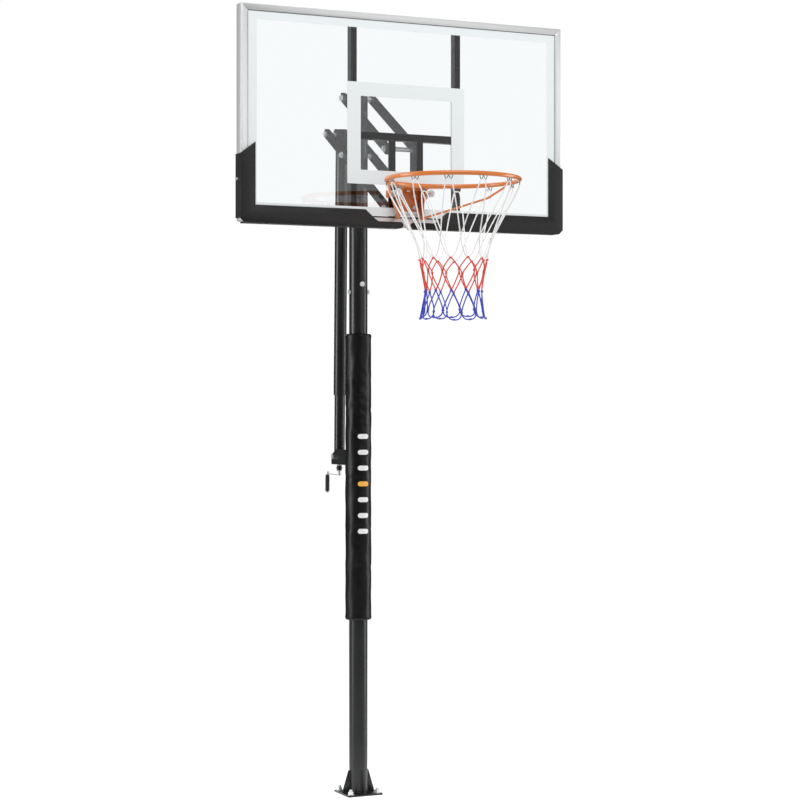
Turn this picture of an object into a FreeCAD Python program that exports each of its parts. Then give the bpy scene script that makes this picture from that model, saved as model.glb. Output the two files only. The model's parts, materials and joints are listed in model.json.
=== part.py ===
import FreeCAD, Part
import os
import re

import Sketcher

# A bolt-down basketball hoop whose backboard is raised by a crank jack.
# Millimetres. +Z is up, the rim is towards -Y, +X is to the player's left when facing the board.
# The origin is the centre of the anchor-bolt pattern on the underside of the foot plate.

V = FreeCAD.Vector
X_AXIS, Y_AXIS, Z_AXIS = V(1, 0, 0), V(0, 1, 0), V(0, 0, 1)

doc = FreeCAD.newDocument("BasketballHoop")
sheet = doc.addObject("Spreadsheet::Sheet", "Dimensions")

DIMENSIONS = {
    # foot
    "plate_side": 144, "plate_thick": 7, "anchor_offset": 56, "anchor_hole_radius": 7,
    "stud_radius": 6, "anchor_depth": 50, "stud_top": 27,
    "gusset_reach": 66, "gusset_top": 92, "gusset_thick": 6,
    # pole
    "pole_radius": 36, "pole_wall": 3, "pole_seam": 1780, "pole_neck_top": 2030, "pole_top": 2757,
    "joint_bolt_low": 1959, "joint_bolt_high": 1989,
    "pad_radius": 51.5, "pad_bottom": 678, "pad_top": 1797,
    # lifting arms: a parallelogram of two pairs
    "pivot_low": 2492, "pivot_high": 2713, "arm_reach": 397, "arm_drop": 240, "arm_tail": 190.5,
    "arm_width": 20, "arm_depth": 30, "arm_wall": 2, "arm_inner": 50, "arm_over": 18,
    "pivot_radius": 6, "bush_radius": 8,
    # jack
    "jack_foot_y": 187, "jack_foot_z": 1312, "jack_bracket_low": 1281, "jack_bracket_high": 1342,
    "foot_pin_radius": 6, "jack_outer_radius": 25, "jack_inner_radius": 21,
    "jack_wall": 3, "jack_skirt": 245, "jack_neck": 22, "jack_inner_top": 800, "screw_radius": 7.5,
    "screw_top": 1070, "screw_bottom": 71, "nut_height": 1000, "crank_throw": 120, "grip_length": 69,
    # backboard
    "board_width": 1310, "board_height": 785, "board_bottom": 2179, "board_front": 445,
    "frame_face": 25, "sill_face": 33, "frame_deep": 50, "lip": 2, "glass_thick": 5, "glass_bite": 10,
    "pad_face": 35, "pad_proud": 8, "pad_bevel": 25, "pad_sill": 36, "pad_rise": 244,
    "pad_corner": 16, "rail_corner": 8,
    # rear steelwork
    "upright_inner": 200, "steel_wide": 25, "steel_deep": 30, "bar_low": 2499, "bar_high": 2527,
    "web_inner": 43, "web_thick": 4, "flange_wide": 27, "web_rear": 380,
    # rim
    "ring_radius": 236.5, "rod_radius": 8, "ring_y": 831, "ring_z": 2319,
    "hinge_y": 461, "hinge_z": 2233, "bracket_inner": 46, "bracket_thick": 4,
    "cheek_back": 452, "cheek_low": 2206, "deck_low": 2314, "deck_thick": 6,
    "mount_low": 2240, "mount_step": 2286, "mount_high": 2313, "mount_thick": 5,
    "rim_bolt_x": 28, "rim_bolt_low": 2252, "rim_bolt_high": 2296, "backing_low": 2236, "backing_high": 2310,
    "spring_x": 66, "spring_z": 2300, "spring_radius": 13, "spring_length": 42, "spring_seat": 522,
    "brace_radius": 4,
    # net
    "net_top": 2302, "net_red": 2030, "net_blue": 1924, "net_end": 1826, "net_thick": 1.2,
    "hook_radius": 7.5, "hook_wire": 1.8,
}

for row, (alias, number) in enumerate(DIMENSIONS.items(), start=1):
    sheet.set(f"A{row}", alias)
    sheet.set(f"B{row}", str(number))
    sheet.setAlias(f"B{row}", alias)
doc.recompute()

ALIAS = re.compile(r"\b(" + "|".join(sorted(DIMENSIONS, key=len, reverse=True)) + r")\b")
NODES = []


def bind(text):
    """The expression with every dimension's name pointed at the sheet."""
    return ALIAS.sub(r"Dimensions.\1", str(text))


def value(text):
    """The number an expression stands for."""
    result = sheet.evalExpression(bind(text))
    return float(getattr(result, "Value", result))


def put(item, place=("0", "0", "0"), turn=None):
    """Bind an object's place, and its angle about an axis when it is turned."""
    if turn:
        axis, angle = turn
        item.Placement = FreeCAD.Placement(V(0, 0, 0), FreeCAD.Rotation(axis, value(angle)))
        item.setExpression("Placement.Rotation.Angle", bind(angle))
    for letter, text in zip("xyz", place):
        item.setExpression(f"Placement.Base.{letter}", bind(text))
    return item


def make(kind, name, sizes, place=("0", "0", "0"), turn=None):
    item = doc.addObject(kind, name)
    for field, text in sizes.items():
        item.setExpression(field, bind(text))
    return put(item, place, turn)


def box(name, low, high):
    sizes = {field: f"({b}) - ({a})" for field, a, b in zip(("Length", "Width", "Height"), low, high)}
    return make("Part::Box", name, sizes, low)


def rod(name, radius, start, length, along="z"):
    """A cylinder that runs from start in the +X, +Y or +Z direction."""
    turn = {"z": None, "x": (Y_AXIS, "90"), "y": (X_AXIS, "-90")}[along]
    return make("Part::Cylinder", name, {"Radius": radius, "Height": length}, start, turn)


def hexagon(name, corner_radius, start, length, along="z"):
    turn = {"z": None, "x": (Y_AXIS, "90"), "y": (X_AXIS, "-90")}[along]
    item = make("Part::Prism", name, {"Circumradius": corner_radius, "Height": length}, start, turn)
    item.Polygon = 6
    return item


def cut(name, base, *tools):
    tool = tools[0] if len(tools) == 1 else fuse(f"{name}_tools", *tools)
    item = doc.addObject("Part::Cut", name)
    item.Base = base
    item.Tool = tool
    return item


def fuse(name, *items):
    item = doc.addObject("Part::MultiFuse", name)
    item.Shapes = list(items)
    return item


def gather(name, *items):
    """Separate solids kept together in one object."""
    item = doc.addObject("Part::Compound", name)
    item.Links = list(items)
    return item


def node(item, label):
    item.Label = label
    NODES.append(item)
    return item


def sketch_on(body, plane, name):
    sketch = body.newObject("Sketcher::SketchObject", name)
    support = next(f for f in body.Origin.OriginFeatures if f.Role == f"{plane}_Plane")
    sketch.AttachmentSupport = [(support, "")]
    sketch.MapMode = "FlatFace"
    return sketch


def tie(sketch, kind, geometry, point, text):
    """Hold one coordinate of a sketch point, or a radius, to an expression."""
    if kind == "Radius":
        index = sketch.addConstraint(Sketcher.Constraint(kind, geometry, value(text)))
    else:
        index = sketch.addConstraint(Sketcher.Constraint(kind, -1, 1, geometry, point, value(text)))
    sketch.setExpression(f"Constraints[{index}]", bind(text))


def draw(sketch, points, holes=()):
    """A closed outline of straight edges, and round holes, all held to expressions."""
    spots = [V(value(a), value(b), 0) for a, b in points]
    count = len(spots)
    for i in range(count):
        sketch.addGeometry(Part.LineSegment(spots[i], spots[(i + 1) % count]), False)
    for i in range(count):
        sketch.addConstraint(Sketcher.Constraint("Coincident", i, 2, (i + 1) % count, 1))
    for i, (a, b) in enumerate(points):
        tie(sketch, "DistanceX", i, 1, a)
        tie(sketch, "DistanceY", i, 1, b)
    for a, b, radius in holes:
        circle = sketch.addGeometry(Part.Circle(V(value(a), value(b), 0), Z_AXIS, value(radius)), False)
        tie(sketch, "DistanceX", circle, 3, a)
        tie(sketch, "DistanceY", circle, 3, b)
        tie(sketch, "Radius", circle, 0, radius)


def plate(name, plane, points, thick, place=("0", "0", "0"), holes=()):
    """A flat piece: an outline on XY, XZ or YZ, made thick towards +Z, -Y or +X."""
    body = doc.addObject("PartDesign::Body", name)
    sketch = sketch_on(body, plane, f"{name}_outline")
    draw(sketch, points, holes)
    pad = body.newObject("PartDesign::Pad", f"{name}_pad")
    pad.Profile = sketch
    pad.setExpression("Length", bind(thick))
    return put(body, place)


def turned(name, points):
    """A ring-shaped piece: an outline of (radius, height) spun about the Z axis."""
    body = doc.addObject("PartDesign::Body", name)
    sketch = sketch_on(body, "XZ", f"{name}_outline")
    draw(sketch, points)
    spin = body.newObject("PartDesign::Revolution", f"{name}_spin")
    spin.Profile = sketch
    spin.ReferenceAxis = (sketch, ["V_Axis"])
    spin.Angle = 360
    return body


def bevelled(name, back, front, back_y, depth):
    """A slab towards -Y whose outline eases from back to front along straight edges."""
    body = doc.addObject("PartDesign::Body", name)
    sketches = []
    for step, (outline, away) in enumerate(((back, "0"), (front, depth))):
        sketch = sketch_on(body, "XZ", f"{name}_outline_{step}")
        draw(sketch, outline)
        sketch.setExpression("AttachmentOffset.Base.z", bind(away))
        sketches.append(sketch)
    loft = body.newObject("PartDesign::AdditiveLoft", f"{name}_loft")
    loft.Profile = sketches[0]
    loft.Sections = [sketches[1]]
    loft.Ruled = True
    return put(body, ("0", back_y, "0"))


def bolt_x(name, radius, y, z, left, right):
    """A hex bolt along X: its head is at the left end."""
    shank = rod(f"{name}_shank", radius, (left, y, z), f"({right}) - ({left})", "x")
    head = hexagon(f"{name}_head", f"{radius} * 1.75", (f"{left} - 7", y, z), "7", "x")
    washer = rod(f"{name}_washer", f"{radius} * 2", (left, y, z), "1.6", "x")
    return fuse(name, shank, head, washer)


def nut_x(name, radius, y, z, left):
    """A nut and its washer along X, from left towards +X, with a clear bore."""
    washer = rod(f"{name}_washer", f"{radius} * 2", (left, y, z), "1.6", "x")
    body = hexagon(f"{name}_hex", f"{radius} * 1.75", (f"{left} + 1.6", y, z), "8", "x")
    bore = rod(f"{name}_bore", f"{radius} + 0.05", (f"{left} - 1", y, z), "12", "x")
    return cut(name, fuse(f"{name}_solid", washer, body), bore)


# ---------------------------------------------------------------- foot

def foot():
    half, spot = "plate_side / 2", "anchor_offset"
    corners = [(f"-{half}", f"-{half}"), (half, f"-{half}"), (half, half), (f"-{half}", half)]
    signs = [(-1, -1), (1, -1), (1, 1), (-1, 1)]
    holes = [(f"{a} * {spot}", f"{b} * {spot}", "anchor_hole_radius") for a, b in signs]
    node(plate("FootPlate", "XY", corners, "plate_thick", holes=holes), "anchor_plate")

    gussets = []
    near = "pole_radius + 0.05"
    for side in range(4):
        outline = [(near, "plate_thick"), ("gusset_reach", "plate_thick"),
                   ("gusset_reach", "plate_thick + 8"), (f"{near} + 6", "gusset_top"), (near, "gusset_top")]
        web = plate(f"Gusset{side}", "XZ", outline, "gusset_thick", ("0", "gusset_thick / 2", "0"))
        turned_web = doc.addObject("Part::Compound", f"GussetTurned{side}")
        turned_web.Links = [web]
        turned_web.Placement = FreeCAD.Placement(V(0, 0, 0), FreeCAD.Rotation(Z_AXIS, 90 * side))
        gussets.append(turned_web)
    node(gather("Gussets", *gussets), "anchor_gussets")

    studs, nuts = [], []
    for i, (a, b) in enumerate(signs):
        at = (f"{a} * {spot}", f"{b} * {spot}")
        buried = rod(f"StudBuried{i}", "stud_radius", (*at, "-anchor_depth"), "anchor_depth")
        threaded = rod(f"StudThreaded{i}", "stud_radius - 0.1", (*at, "0"), "stud_top")
        studs.append(fuse(f"Stud{i}", buried, threaded))
        washer = rod(f"AnchorWasher{i}", "13", (*at, "plate_thick"), "2.4")
        nut = hexagon(f"AnchorNut{i}", "10.9", (*at, "plate_thick + 2.4"), "10")
        bore = rod(f"AnchorBore{i}", "stud_radius + 0.05", (*at, "0"), "stud_top + 10")
        nuts.append(cut(f"AnchorNutCut{i}", fuse(f"AnchorNutSolid{i}", washer, nut), bore))
    node(gather("AnchorBolts", *studs, *nuts), "anchor_bolts")


# ---------------------------------------------------------------- pole

def pole():
    neck = "pole_radius - pole_wall - 0.2"
    lower = [("pole_radius - pole_wall", "plate_thick"), ("pole_radius", "plate_thick"),
             ("pole_radius", "pole_seam"), (neck, "pole_seam"), (neck, "pole_neck_top"),
             (f"{neck} - pole_wall", "pole_neck_top"), (f"{neck} - pole_wall", "pole_seam - 8"),
             ("pole_radius - pole_wall", "pole_seam - 20")]
    cross = [rod("LowJointHoleX", "5.2", ("-60", "0", "joint_bolt_low"), "120", "x"),
             rod("LowJointHoleY", "5.2", ("0", "-60", "joint_bolt_high"), "120", "y")]
    node(cut("LowerPole", turned("LowerTube", lower), *cross), "lower_pole")

    upper = turned("UpperTube", [("pole_radius - pole_wall", "pole_seam"), ("pole_radius", "pole_seam"),
                                 ("pole_radius", "pole_top"), ("pole_radius - pole_wall", "pole_top")])
    holes = [rod("JointHoleX", "5.2", ("-60", "0", "joint_bolt_low"), "120", "x"),
             rod("JointHoleY", "5.2", ("0", "-60", "joint_bolt_high"), "120", "y"),
             rod("PivotHoleLow", "pivot_radius + 0.2", ("-60", "0", "pivot_low"), "120", "x"),
             rod("PivotHoleHigh", "pivot_radius + 0.2", ("-60", "0", "pivot_high"), "120", "x")]
    node(cut("UpperPole", upper, *holes), "upper_pole")

    cap = turned("CapTurned", [("0", "pole_top - 14"), ("pole_radius - pole_wall - 0.1", "pole_top - 14"),
                               ("pole_radius - pole_wall - 0.1", "pole_top"), ("pole_radius + 1", "pole_top"),
                               ("pole_radius + 1", "pole_top + 3"), ("pole_radius - 3", "pole_top + 6"),
                               ("0", "pole_top + 7")])
    node(cap, "pole_cap")

    sleeve = turned("PadTube", [("pole_radius + 0.6", "pad_bottom"), ("pad_radius - 3", "pad_bottom"),
                                ("pad_radius", "pad_bottom + 4"), ("pad_radius", "pad_top - 4"),
                                ("pad_radius - 3", "pad_top"), ("pole_radius + 0.6", "pad_top")])
    notch = box("PadNotch", ("-29", "0", "jack_bracket_low - 3"),
                ("29", "pad_radius + 5", "jack_bracket_high + 4"))
    node(cut("PolePad", sleeve, notch), "pole_pad")

    heads, nuts = [], []
    for name, along, height in (("X", "x", "joint_bolt_low"), ("Y", "y", "joint_bolt_high")):
        start = ("-pole_radius - 1", "0", height) if along == "x" else ("0", "-pole_radius - 1", height)
        far = ("pole_radius + 0.5", "0", height) if along == "x" else ("0", "pole_radius + 0.5", height)
        under_head = "-pole_radius - 5.5"
        cap_start = (under_head, "0", height) if along == "x" else ("0", under_head, height)
        shank = rod(f"JointShank{name}", "5", start, "2 * pole_radius + 12", along)
        head = rod(f"JointHead{name}", "9.5", cap_start, "5", along)
        heads.append(fuse(f"JointBolt{name}", shank, head))
        nut = hexagon(f"JointNutHex{name}", "9", far, "8", along)
        nuts.append(cut(f"JointNut{name}", nut, rod(f"JointNutBore{name}", "5.05", start, "120", along)))
    node(gather("JointBolts", *heads, *nuts), "pole_joint_bolts")


# ---------------------------------------------------------------- lifting arms

ARM_ANGLE = "atan(arm_drop / arm_reach)"
ARM_LENGTH = "sqrt(arm_reach^2 + arm_drop^2)"


def arm(name, side, height, tail):
    """A rectangular tube about its pole pivot, turned so that its front end is low."""
    low_y = f"-({ARM_LENGTH}) - arm_over"
    high_y = f"{tail} + arm_over"
    inner = "arm_inner" if side > 0 else "-arm_inner - arm_width"
    outer = "arm_inner + arm_width" if side > 0 else "-arm_inner"
    shell = box(f"{name}Shell", (inner, low_y, "-arm_depth / 2"), (outer, high_y, "arm_depth / 2"))
    hollow = box(f"{name}Hollow", (f"{inner} + arm_wall", f"{low_y} - 1", "-arm_depth / 2 + arm_wall"),
                 (f"{outer} - arm_wall", f"{high_y} + 1", "arm_depth / 2 - arm_wall"))
    spots = ["0", f"-({ARM_LENGTH})"]
    if tail != "0":
        spots.append(tail)
    radii = ["bush_radius + 0.02", "bush_radius + 0.02", "pivot_radius + 0.1"]
    holes = [rod(f"{name}Hole{i}", radius, (f"{inner} - 5", spot, "0"), "arm_width + 10", "x")
             for i, (spot, radius) in enumerate(zip(spots, radii))]
    piece = cut(name, shell, hollow, *holes)
    return put(piece, ("0", "0", height), (X_AXIS, ARM_ANGLE))


def arm_bushes(name, height, front_gap):
    """Flanged nylon bushes in both arms of a pair, at the pole and at the board."""
    bushes = []
    for side in (-1, 1):
        start = "arm_inner - 1.5" if side > 0 else "-arm_inner - arm_width"
        flange = "arm_inner - 1.5" if side > 0 else "-arm_inner"
        for end, spot, gap in (("Pole", "0", "0.06"), ("Board", f"-({ARM_LENGTH})", front_gap)):
            label = f"{name}{'R' if side > 0 else 'L'}{end}"
            barrel = rod(f"{label}Barrel", "bush_radius", (start, spot, "0"), "arm_width + 1.5", "x")
            lip = rod(f"{label}Lip", "bush_radius + 3", (flange, spot, "0"), "1.45", "x")
            bore = rod(f"{label}Bore", f"pivot_radius + {gap}", (f"{start} - 5", spot, "0"), "40", "x")
            bushes.append(cut(label, fuse(f"{label}Solid", barrel, lip), bore))
    piece = gather(name, *bushes)
    return put(piece, ("0", "0", height), (X_AXIS, ARM_ANGLE))


def lifting_arms():
    for side, hand in ((-1, "left"), (1, "right")):
        node(arm(f"LowerArm{hand}", side, "pivot_low", "arm_tail"), f"lower_arm_{hand}")
        node(arm(f"UpperArm{hand}", side, "pivot_high", "0"), f"upper_arm_{hand}")
    node(arm_bushes("LowerBushes", "pivot_low", "0.06"), "lower_arm_bushes")
    node(arm_bushes("UpperBushes", "pivot_high", "0.3"), "upper_arm_bushes")

    face = "(arm_inner + arm_width)"
    bolts, nuts, spacers = [], [], []
    for name, height in (("Low", "pivot_low"), ("High", "pivot_high")):
        bolts.append(bolt_x(f"Pivot{name}", "pivot_radius", "0", height, f"-{face} - 2", f"{face} + 14"))
        nuts.append(nut_x(f"PivotNut{name}", "pivot_radius", "0", height, f"{face} + 0.5"))
        for side in (-1, 1):
            start = "pole_radius - 3" if side > 0 else "-arm_inner + 1.6"
            label = f"Spacer{name}{'R' if side > 0 else 'L'}"
            tube = rod(f"{label}Tube", "10", (start, "0", height), "arm_inner - 1.6 - pole_radius + 3", "x")
            bore = rod(f"{label}Bore", "pivot_radius + 0.2", ("-90", "0", height), "180", "x")
            saddle = rod(f"{label}Saddle", "pole_radius + 0.02", ("0", "0", f"{height} - 30"), "60")
            spacers.append(cut(label, tube, bore, saddle))
    node(gather("PivotBolts", *bolts), "arm_pivot_bolts")
    node(gather("PivotNuts", *nuts), "arm_pivot_nuts")
    node(gather("PivotSpacers", *spacers), "arm_pivot_spacers")

    # The jack's top pin is in two halves that stop beside the jack's head.
    halves = []
    for side, label in ((-1, "L"), (1, "R")):
        gap = "jack_outer_radius + 3.4"
        start = gap if side > 0 else f"-{face} - 0.2"
        shank = rod(f"TopPin{label}Shank", "pivot_radius", (start, "arm_tail", "0"),
                    f"{face} + 0.2 - ({gap})", "x")
        collar_start = gap if side > 0 else "-arm_inner"
        collar = rod(f"TopPin{label}Collar", "9", (collar_start, "arm_tail", "0"),
                     f"arm_inner - ({gap})", "x")
        head_start = f"{face} + 0.1" if side > 0 else f"-{face} - 7.1"
        head = hexagon(f"TopPin{label}Head", "10.5", (head_start, "arm_tail", "0"), "7", "x")
        halves.append(fuse(f"TopPin{label}", shank, collar, head))
    node(put(gather("TopPins", *halves), ("0", "0", "pivot_low"), (X_AXIS, ARM_ANGLE)), "jack_top_pins")


# ---------------------------------------------------------------- jack

TOP_Y = "(arm_tail * cos(atan(arm_drop / arm_reach)))"
TOP_Z = "(pivot_low + arm_tail * sin(atan(arm_drop / arm_reach)))"
JACK_LEAN = f"atan((jack_foot_y - {TOP_Y}) / ({TOP_Z} - jack_foot_z))"
JACK_LENGTH = f"sqrt((jack_foot_y - {TOP_Y})^2 + ({TOP_Z} - jack_foot_z)^2)"


def on_jack(item, label):
    """Stand a piece drawn about +Z from the foot pivot on the jack's leaning axis."""
    return node(put(item, ("0", "jack_foot_y", "jack_foot_z"), (X_AXIS, JACK_LEAN)), label)


def jack():
    low, high = "jack_bracket_low", "jack_bracket_high"
    profile = [("20", low), ("jack_foot_y + 18", low), ("jack_foot_y + 18", "jack_foot_z + 6"),
               ("jack_foot_y - 30", high), ("20", high)]
    hole = [("jack_foot_y", "jack_foot_z", "foot_pin_radius + 0.1")]
    cheeks = [plate(f"Cheek{i}", "YZ", profile, "4", (start, "0", "0"), hole)
              for i, start in enumerate(("-27.5", "23.5"))]
    bridge = box("BracketBridge", ("-27.5", "pole_radius + 2", low), ("27.5", "pole_radius + 6", high))
    bite = rod("BracketBite", "pole_radius + 0.02", ("0", "0", f"{low} - 50"), "200")
    node(cut("JackBracket", fuse("BracketSolid", *cheeks, bridge), bite), "jack_bracket")

    pins = []
    for side, label in ((-1, "L"), (1, "R")):
        start = "15" if side > 0 else "-28"
        shank = rod(f"FootPin{label}Shank", "foot_pin_radius", (start, "jack_foot_y", "jack_foot_z"),
                    "13", "x")
        head_start = "27.6" if side > 0 else "-33.6"
        head = hexagon(f"FootPin{label}Head", "9.5", (head_start, "jack_foot_y", "jack_foot_z"), "6", "x")
        pins.append(fuse(f"FootPin{label}", shank, head))
    node(gather("FootPins", *pins), "jack_foot_pins")

    inner_bore = "jack_inner_radius - jack_wall"
    tube = turned("InnerTube", [(inner_bore, "-29"), ("jack_inner_radius", "-29"),
                                ("jack_inner_radius", "jack_inner_top"), (inner_bore, "jack_inner_top")])
    cross = rod("InnerCross", "foot_pin_radius + 0.07", ("-40", "0", "0"), "80", "x")
    on_jack(cut("JackInner", tube, cross), "jack_inner_tube")
    block = turned("BearingBlock", [("screw_radius + 0.08", "-20"), (f"{inner_bore} - 0.05", "-20"),
                                    (f"{inner_bore} - 0.05", "20"), ("screw_radius + 0.08", "20")])
    block_cross = rod("BlockCross", "foot_pin_radius + 0.07", ("-40", "0", "0"), "80", "x")
    on_jack(cut("JackBearing", block, block_cross), "jack_bearing")

    bore = "jack_outer_radius - jack_wall"
    skirt, crown = "jack_skirt", f"{JACK_LENGTH} + jack_neck"
    outer = turned("OuterTube", [(bore, skirt), ("jack_outer_radius", skirt),
                                 ("jack_outer_radius", crown), (bore, crown)])
    on_jack(outer, "jack_outer_tube")
    top = f"{skirt} + 40"
    guide = turned("GuideBush", [("jack_inner_radius + 0.1", skirt), (f"{bore} - 0.05", skirt),
                                 (f"{bore} - 0.05", top), ("jack_inner_radius + 0.1", top)])
    on_jack(guide, "jack_guide_bush")
    nut_top = "nut_height + 30"
    nut = turned("LiftNut", [("screw_radius + 0.1", "nut_height"), (f"{bore} - 0.05", "nut_height"),
                             (f"{bore} - 0.05", nut_top), ("screw_radius + 0.1", nut_top)])
    on_jack(nut, "jack_lift_nut")
    boss = rod("HeadBoss", "24", ("-jack_outer_radius - 3", "0", JACK_LENGTH),
               "2 * jack_outer_radius + 6", "x")
    around = rod("HeadAround", "jack_outer_radius + 0.02", ("0", "0", f"{JACK_LENGTH} - 60"), "120")
    round_boss = doc.addObject("Part::Common", "HeadRound")
    round_boss.Base = boss
    round_boss.Tool = make("Part::Sphere", "HeadSphere", {"Radius": "40"}, ("0", "0", JACK_LENGTH))
    on_jack(cut("JackHead", round_boss, around), "jack_head_bosses")

    screw = turned("LiftScrew", [("0", "-screw_bottom"), ("screw_radius", "-screw_bottom"),
                                 ("screw_radius", "screw_top - 4"), ("screw_radius - 2", "screw_top"),
                                 ("0", "screw_top")])
    on_jack(cut("JackScrew", screw, rod("PinHole", "2.6", ("-20", "0", "-46"), "40", "x")), "jack_screw")
    collar = turned("CrankCollar", [("screw_radius + 0.02", "-56"), ("10.5", "-56"), ("10.5", "-36"),
                                    ("screw_radius + 0.02", "-36")])
    on_jack(cut("CrankCollarCut", collar, rod("CollarPinHole", "2.6", ("-20", "0", "-46"), "40", "x")),
            "crank_collar")
    on_jack(gather("CrankPinHeld", rod("CrankPin", "2.5", ("-14", "0", "-46"), "28", "x")), "crank_cross_pin")

    bar = box("CrankBar", ("-6", "0", "-screw_bottom - 5"), ("6", "crank_throw", "-screw_bottom"))
    end = rod("CrankEnd", "6", ("0", "crank_throw", "-screw_bottom - 5"), "5")
    hub = rod("CrankHub", "9", ("0", "0", "-screw_bottom - 5"), "5")
    spindle = rod("CrankSpindle", "4", ("0", "crank_throw", "-screw_bottom - 12 - grip_length"),
                  "grip_length + 20")
    locknut = hexagon("CrankNut", "7", ("0", "crank_throw", "-screw_bottom"), "6")
    stop = rod("CrankStop", "6.5", ("0", "crank_throw", "-screw_bottom - 12 - grip_length"), "2")
    on_jack(fuse("CrankArm", bar, end, hub, spindle, locknut, stop), "crank_arm")
    grip = turned("CrankGrip", [("4.08", "-grip_length"), ("8", "-grip_length"), ("8.6", "-grip_length + 6"),
                                ("8.6", "-8"), ("7.2", "0"), ("4.08", "0")])
    moved = doc.addObject("Part::Compound", "GripMoved")
    put(grip, ("0", "crank_throw", "-screw_bottom - 7"))
    moved.Links = [grip]
    on_jack(moved, "crank_grip")


# ---------------------------------------------------------------- backboard

HALF = "board_width / 2"
TOP = "(board_bottom + board_height)"
GLASS_FRONT = "(-board_front + lip)"
GLASS_BACK = "(-board_front + lip + glass_thick)"


def frame_rail(name, outline, slot, hollow):
    """A mitred rail: slot takes the panel's edge, hollow is the extrusion's bore."""
    solid = plate(f"{name}Solid", "XZ", outline, "frame_deep", ("0", "-board_front + frame_deep", "0"))
    corners = []
    for i, sign in enumerate(("-", "")):
        beyond = f"{sign}({HALF} + 1)"
        nick = [(beyond, "board_bottom - 1"), (f"{sign}({HALF} - rail_corner)", "board_bottom - 1"),
                (beyond, "board_bottom + rail_corner")]
        corners.append(plate(f"{name}Nick{i}", "XZ", nick, "frame_deep + 4",
                             ("0", "-board_front + frame_deep + 2", "0")))
    tools = [] if name == "frame_top" else corners
    node(cut(name, solid, box(f"{name}Slot", *slot), box(f"{name}Bore", *hollow), *tools), name)


def backboard():
    wide = f"{HALF} - frame_face + glass_bite"
    glass_low = "board_bottom + sill_face - glass_bite"
    glass_high = f"{TOP} - frame_face + glass_bite"
    bores = [rod(f"GlassHole{i}", "5.6", (x, "-board_front - 10", z), "30", "y")
             for i, (x, z) in enumerate(RIM_BOLTS)]
    sheet_solid = box("PanelSolid", (f"-({wide})", GLASS_FRONT, glass_low), (wide, GLASS_BACK, glass_high))
    node(cut("Panel", sheet_solid, *bores), "backboard_panel")

    face, bite = "frame_face", "(glass_bite + 0.5)"
    y_slot = (f"{GLASS_FRONT} - 0.1", f"{GLASS_BACK} + 0.1")
    y_bore = (f"{GLASS_BACK} + 3", "-board_front + frame_deep - 3")
    inner = f"({HALF} - {face})"
    for name, sign in (("frame_left", "-"), ("frame_right", "")):
        outline = [(f"{sign}{HALF}", "board_bottom"), (f"{sign}{HALF}", TOP),
                   (f"{sign}{inner}", f"{TOP} - {face}"), (f"{sign}{inner}", "board_bottom + sill_face")]
        spans = [(f"{inner} - 1", f"{inner} + {bite}"), (f"{inner} + 3", f"{HALF} - 3")]
        if sign:
            spans = [(f"-({b})", f"-({a})") for a, b in spans]
        low, high = f"board_bottom + sill_face - {bite}", f"{TOP} - {face} + {bite}"
        slot = ((spans[0][0], y_slot[0], low), (spans[0][1], y_slot[1], high))
        hollow = ((spans[1][0], y_bore[0], "board_bottom + sill_face + 3"),
                  (spans[1][1], y_bore[1], f"{TOP} - {face} - 3"))
        frame_rail(name, outline, slot, hollow)
    for name, edge, step, tall in (("frame_bottom", "board_bottom", 1, "sill_face"),
                                   ("frame_top", TOP, -1, "frame_face")):
        lip_edge = f"{edge} + {step} * {tall}"
        outline = [(f"-{HALF}", edge), (HALF, edge), (inner, lip_edge), (f"-{inner}", lip_edge)]
        ends = [f"{edge} + {step} * ({tall} - {bite})", f"{edge} + {step} * ({tall} + 1)"]
        bore_ends = [f"{edge} + {step} * 3", f"{edge} + {step} * ({tall} - 3)"]
        if step < 0:
            ends.reverse()
            bore_ends.reverse()
        slot = ((f"-{inner} - {bite}", y_slot[0], ends[0]), (f"{inner} + {bite}", y_slot[1], ends[1]))
        hollow = ((f"-{inner} + 3", y_bore[0], bore_ends[0]), (f"{inner} - 3", y_bore[1], bore_ends[1]))
        frame_rail(name, outline, slot, hollow)


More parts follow.
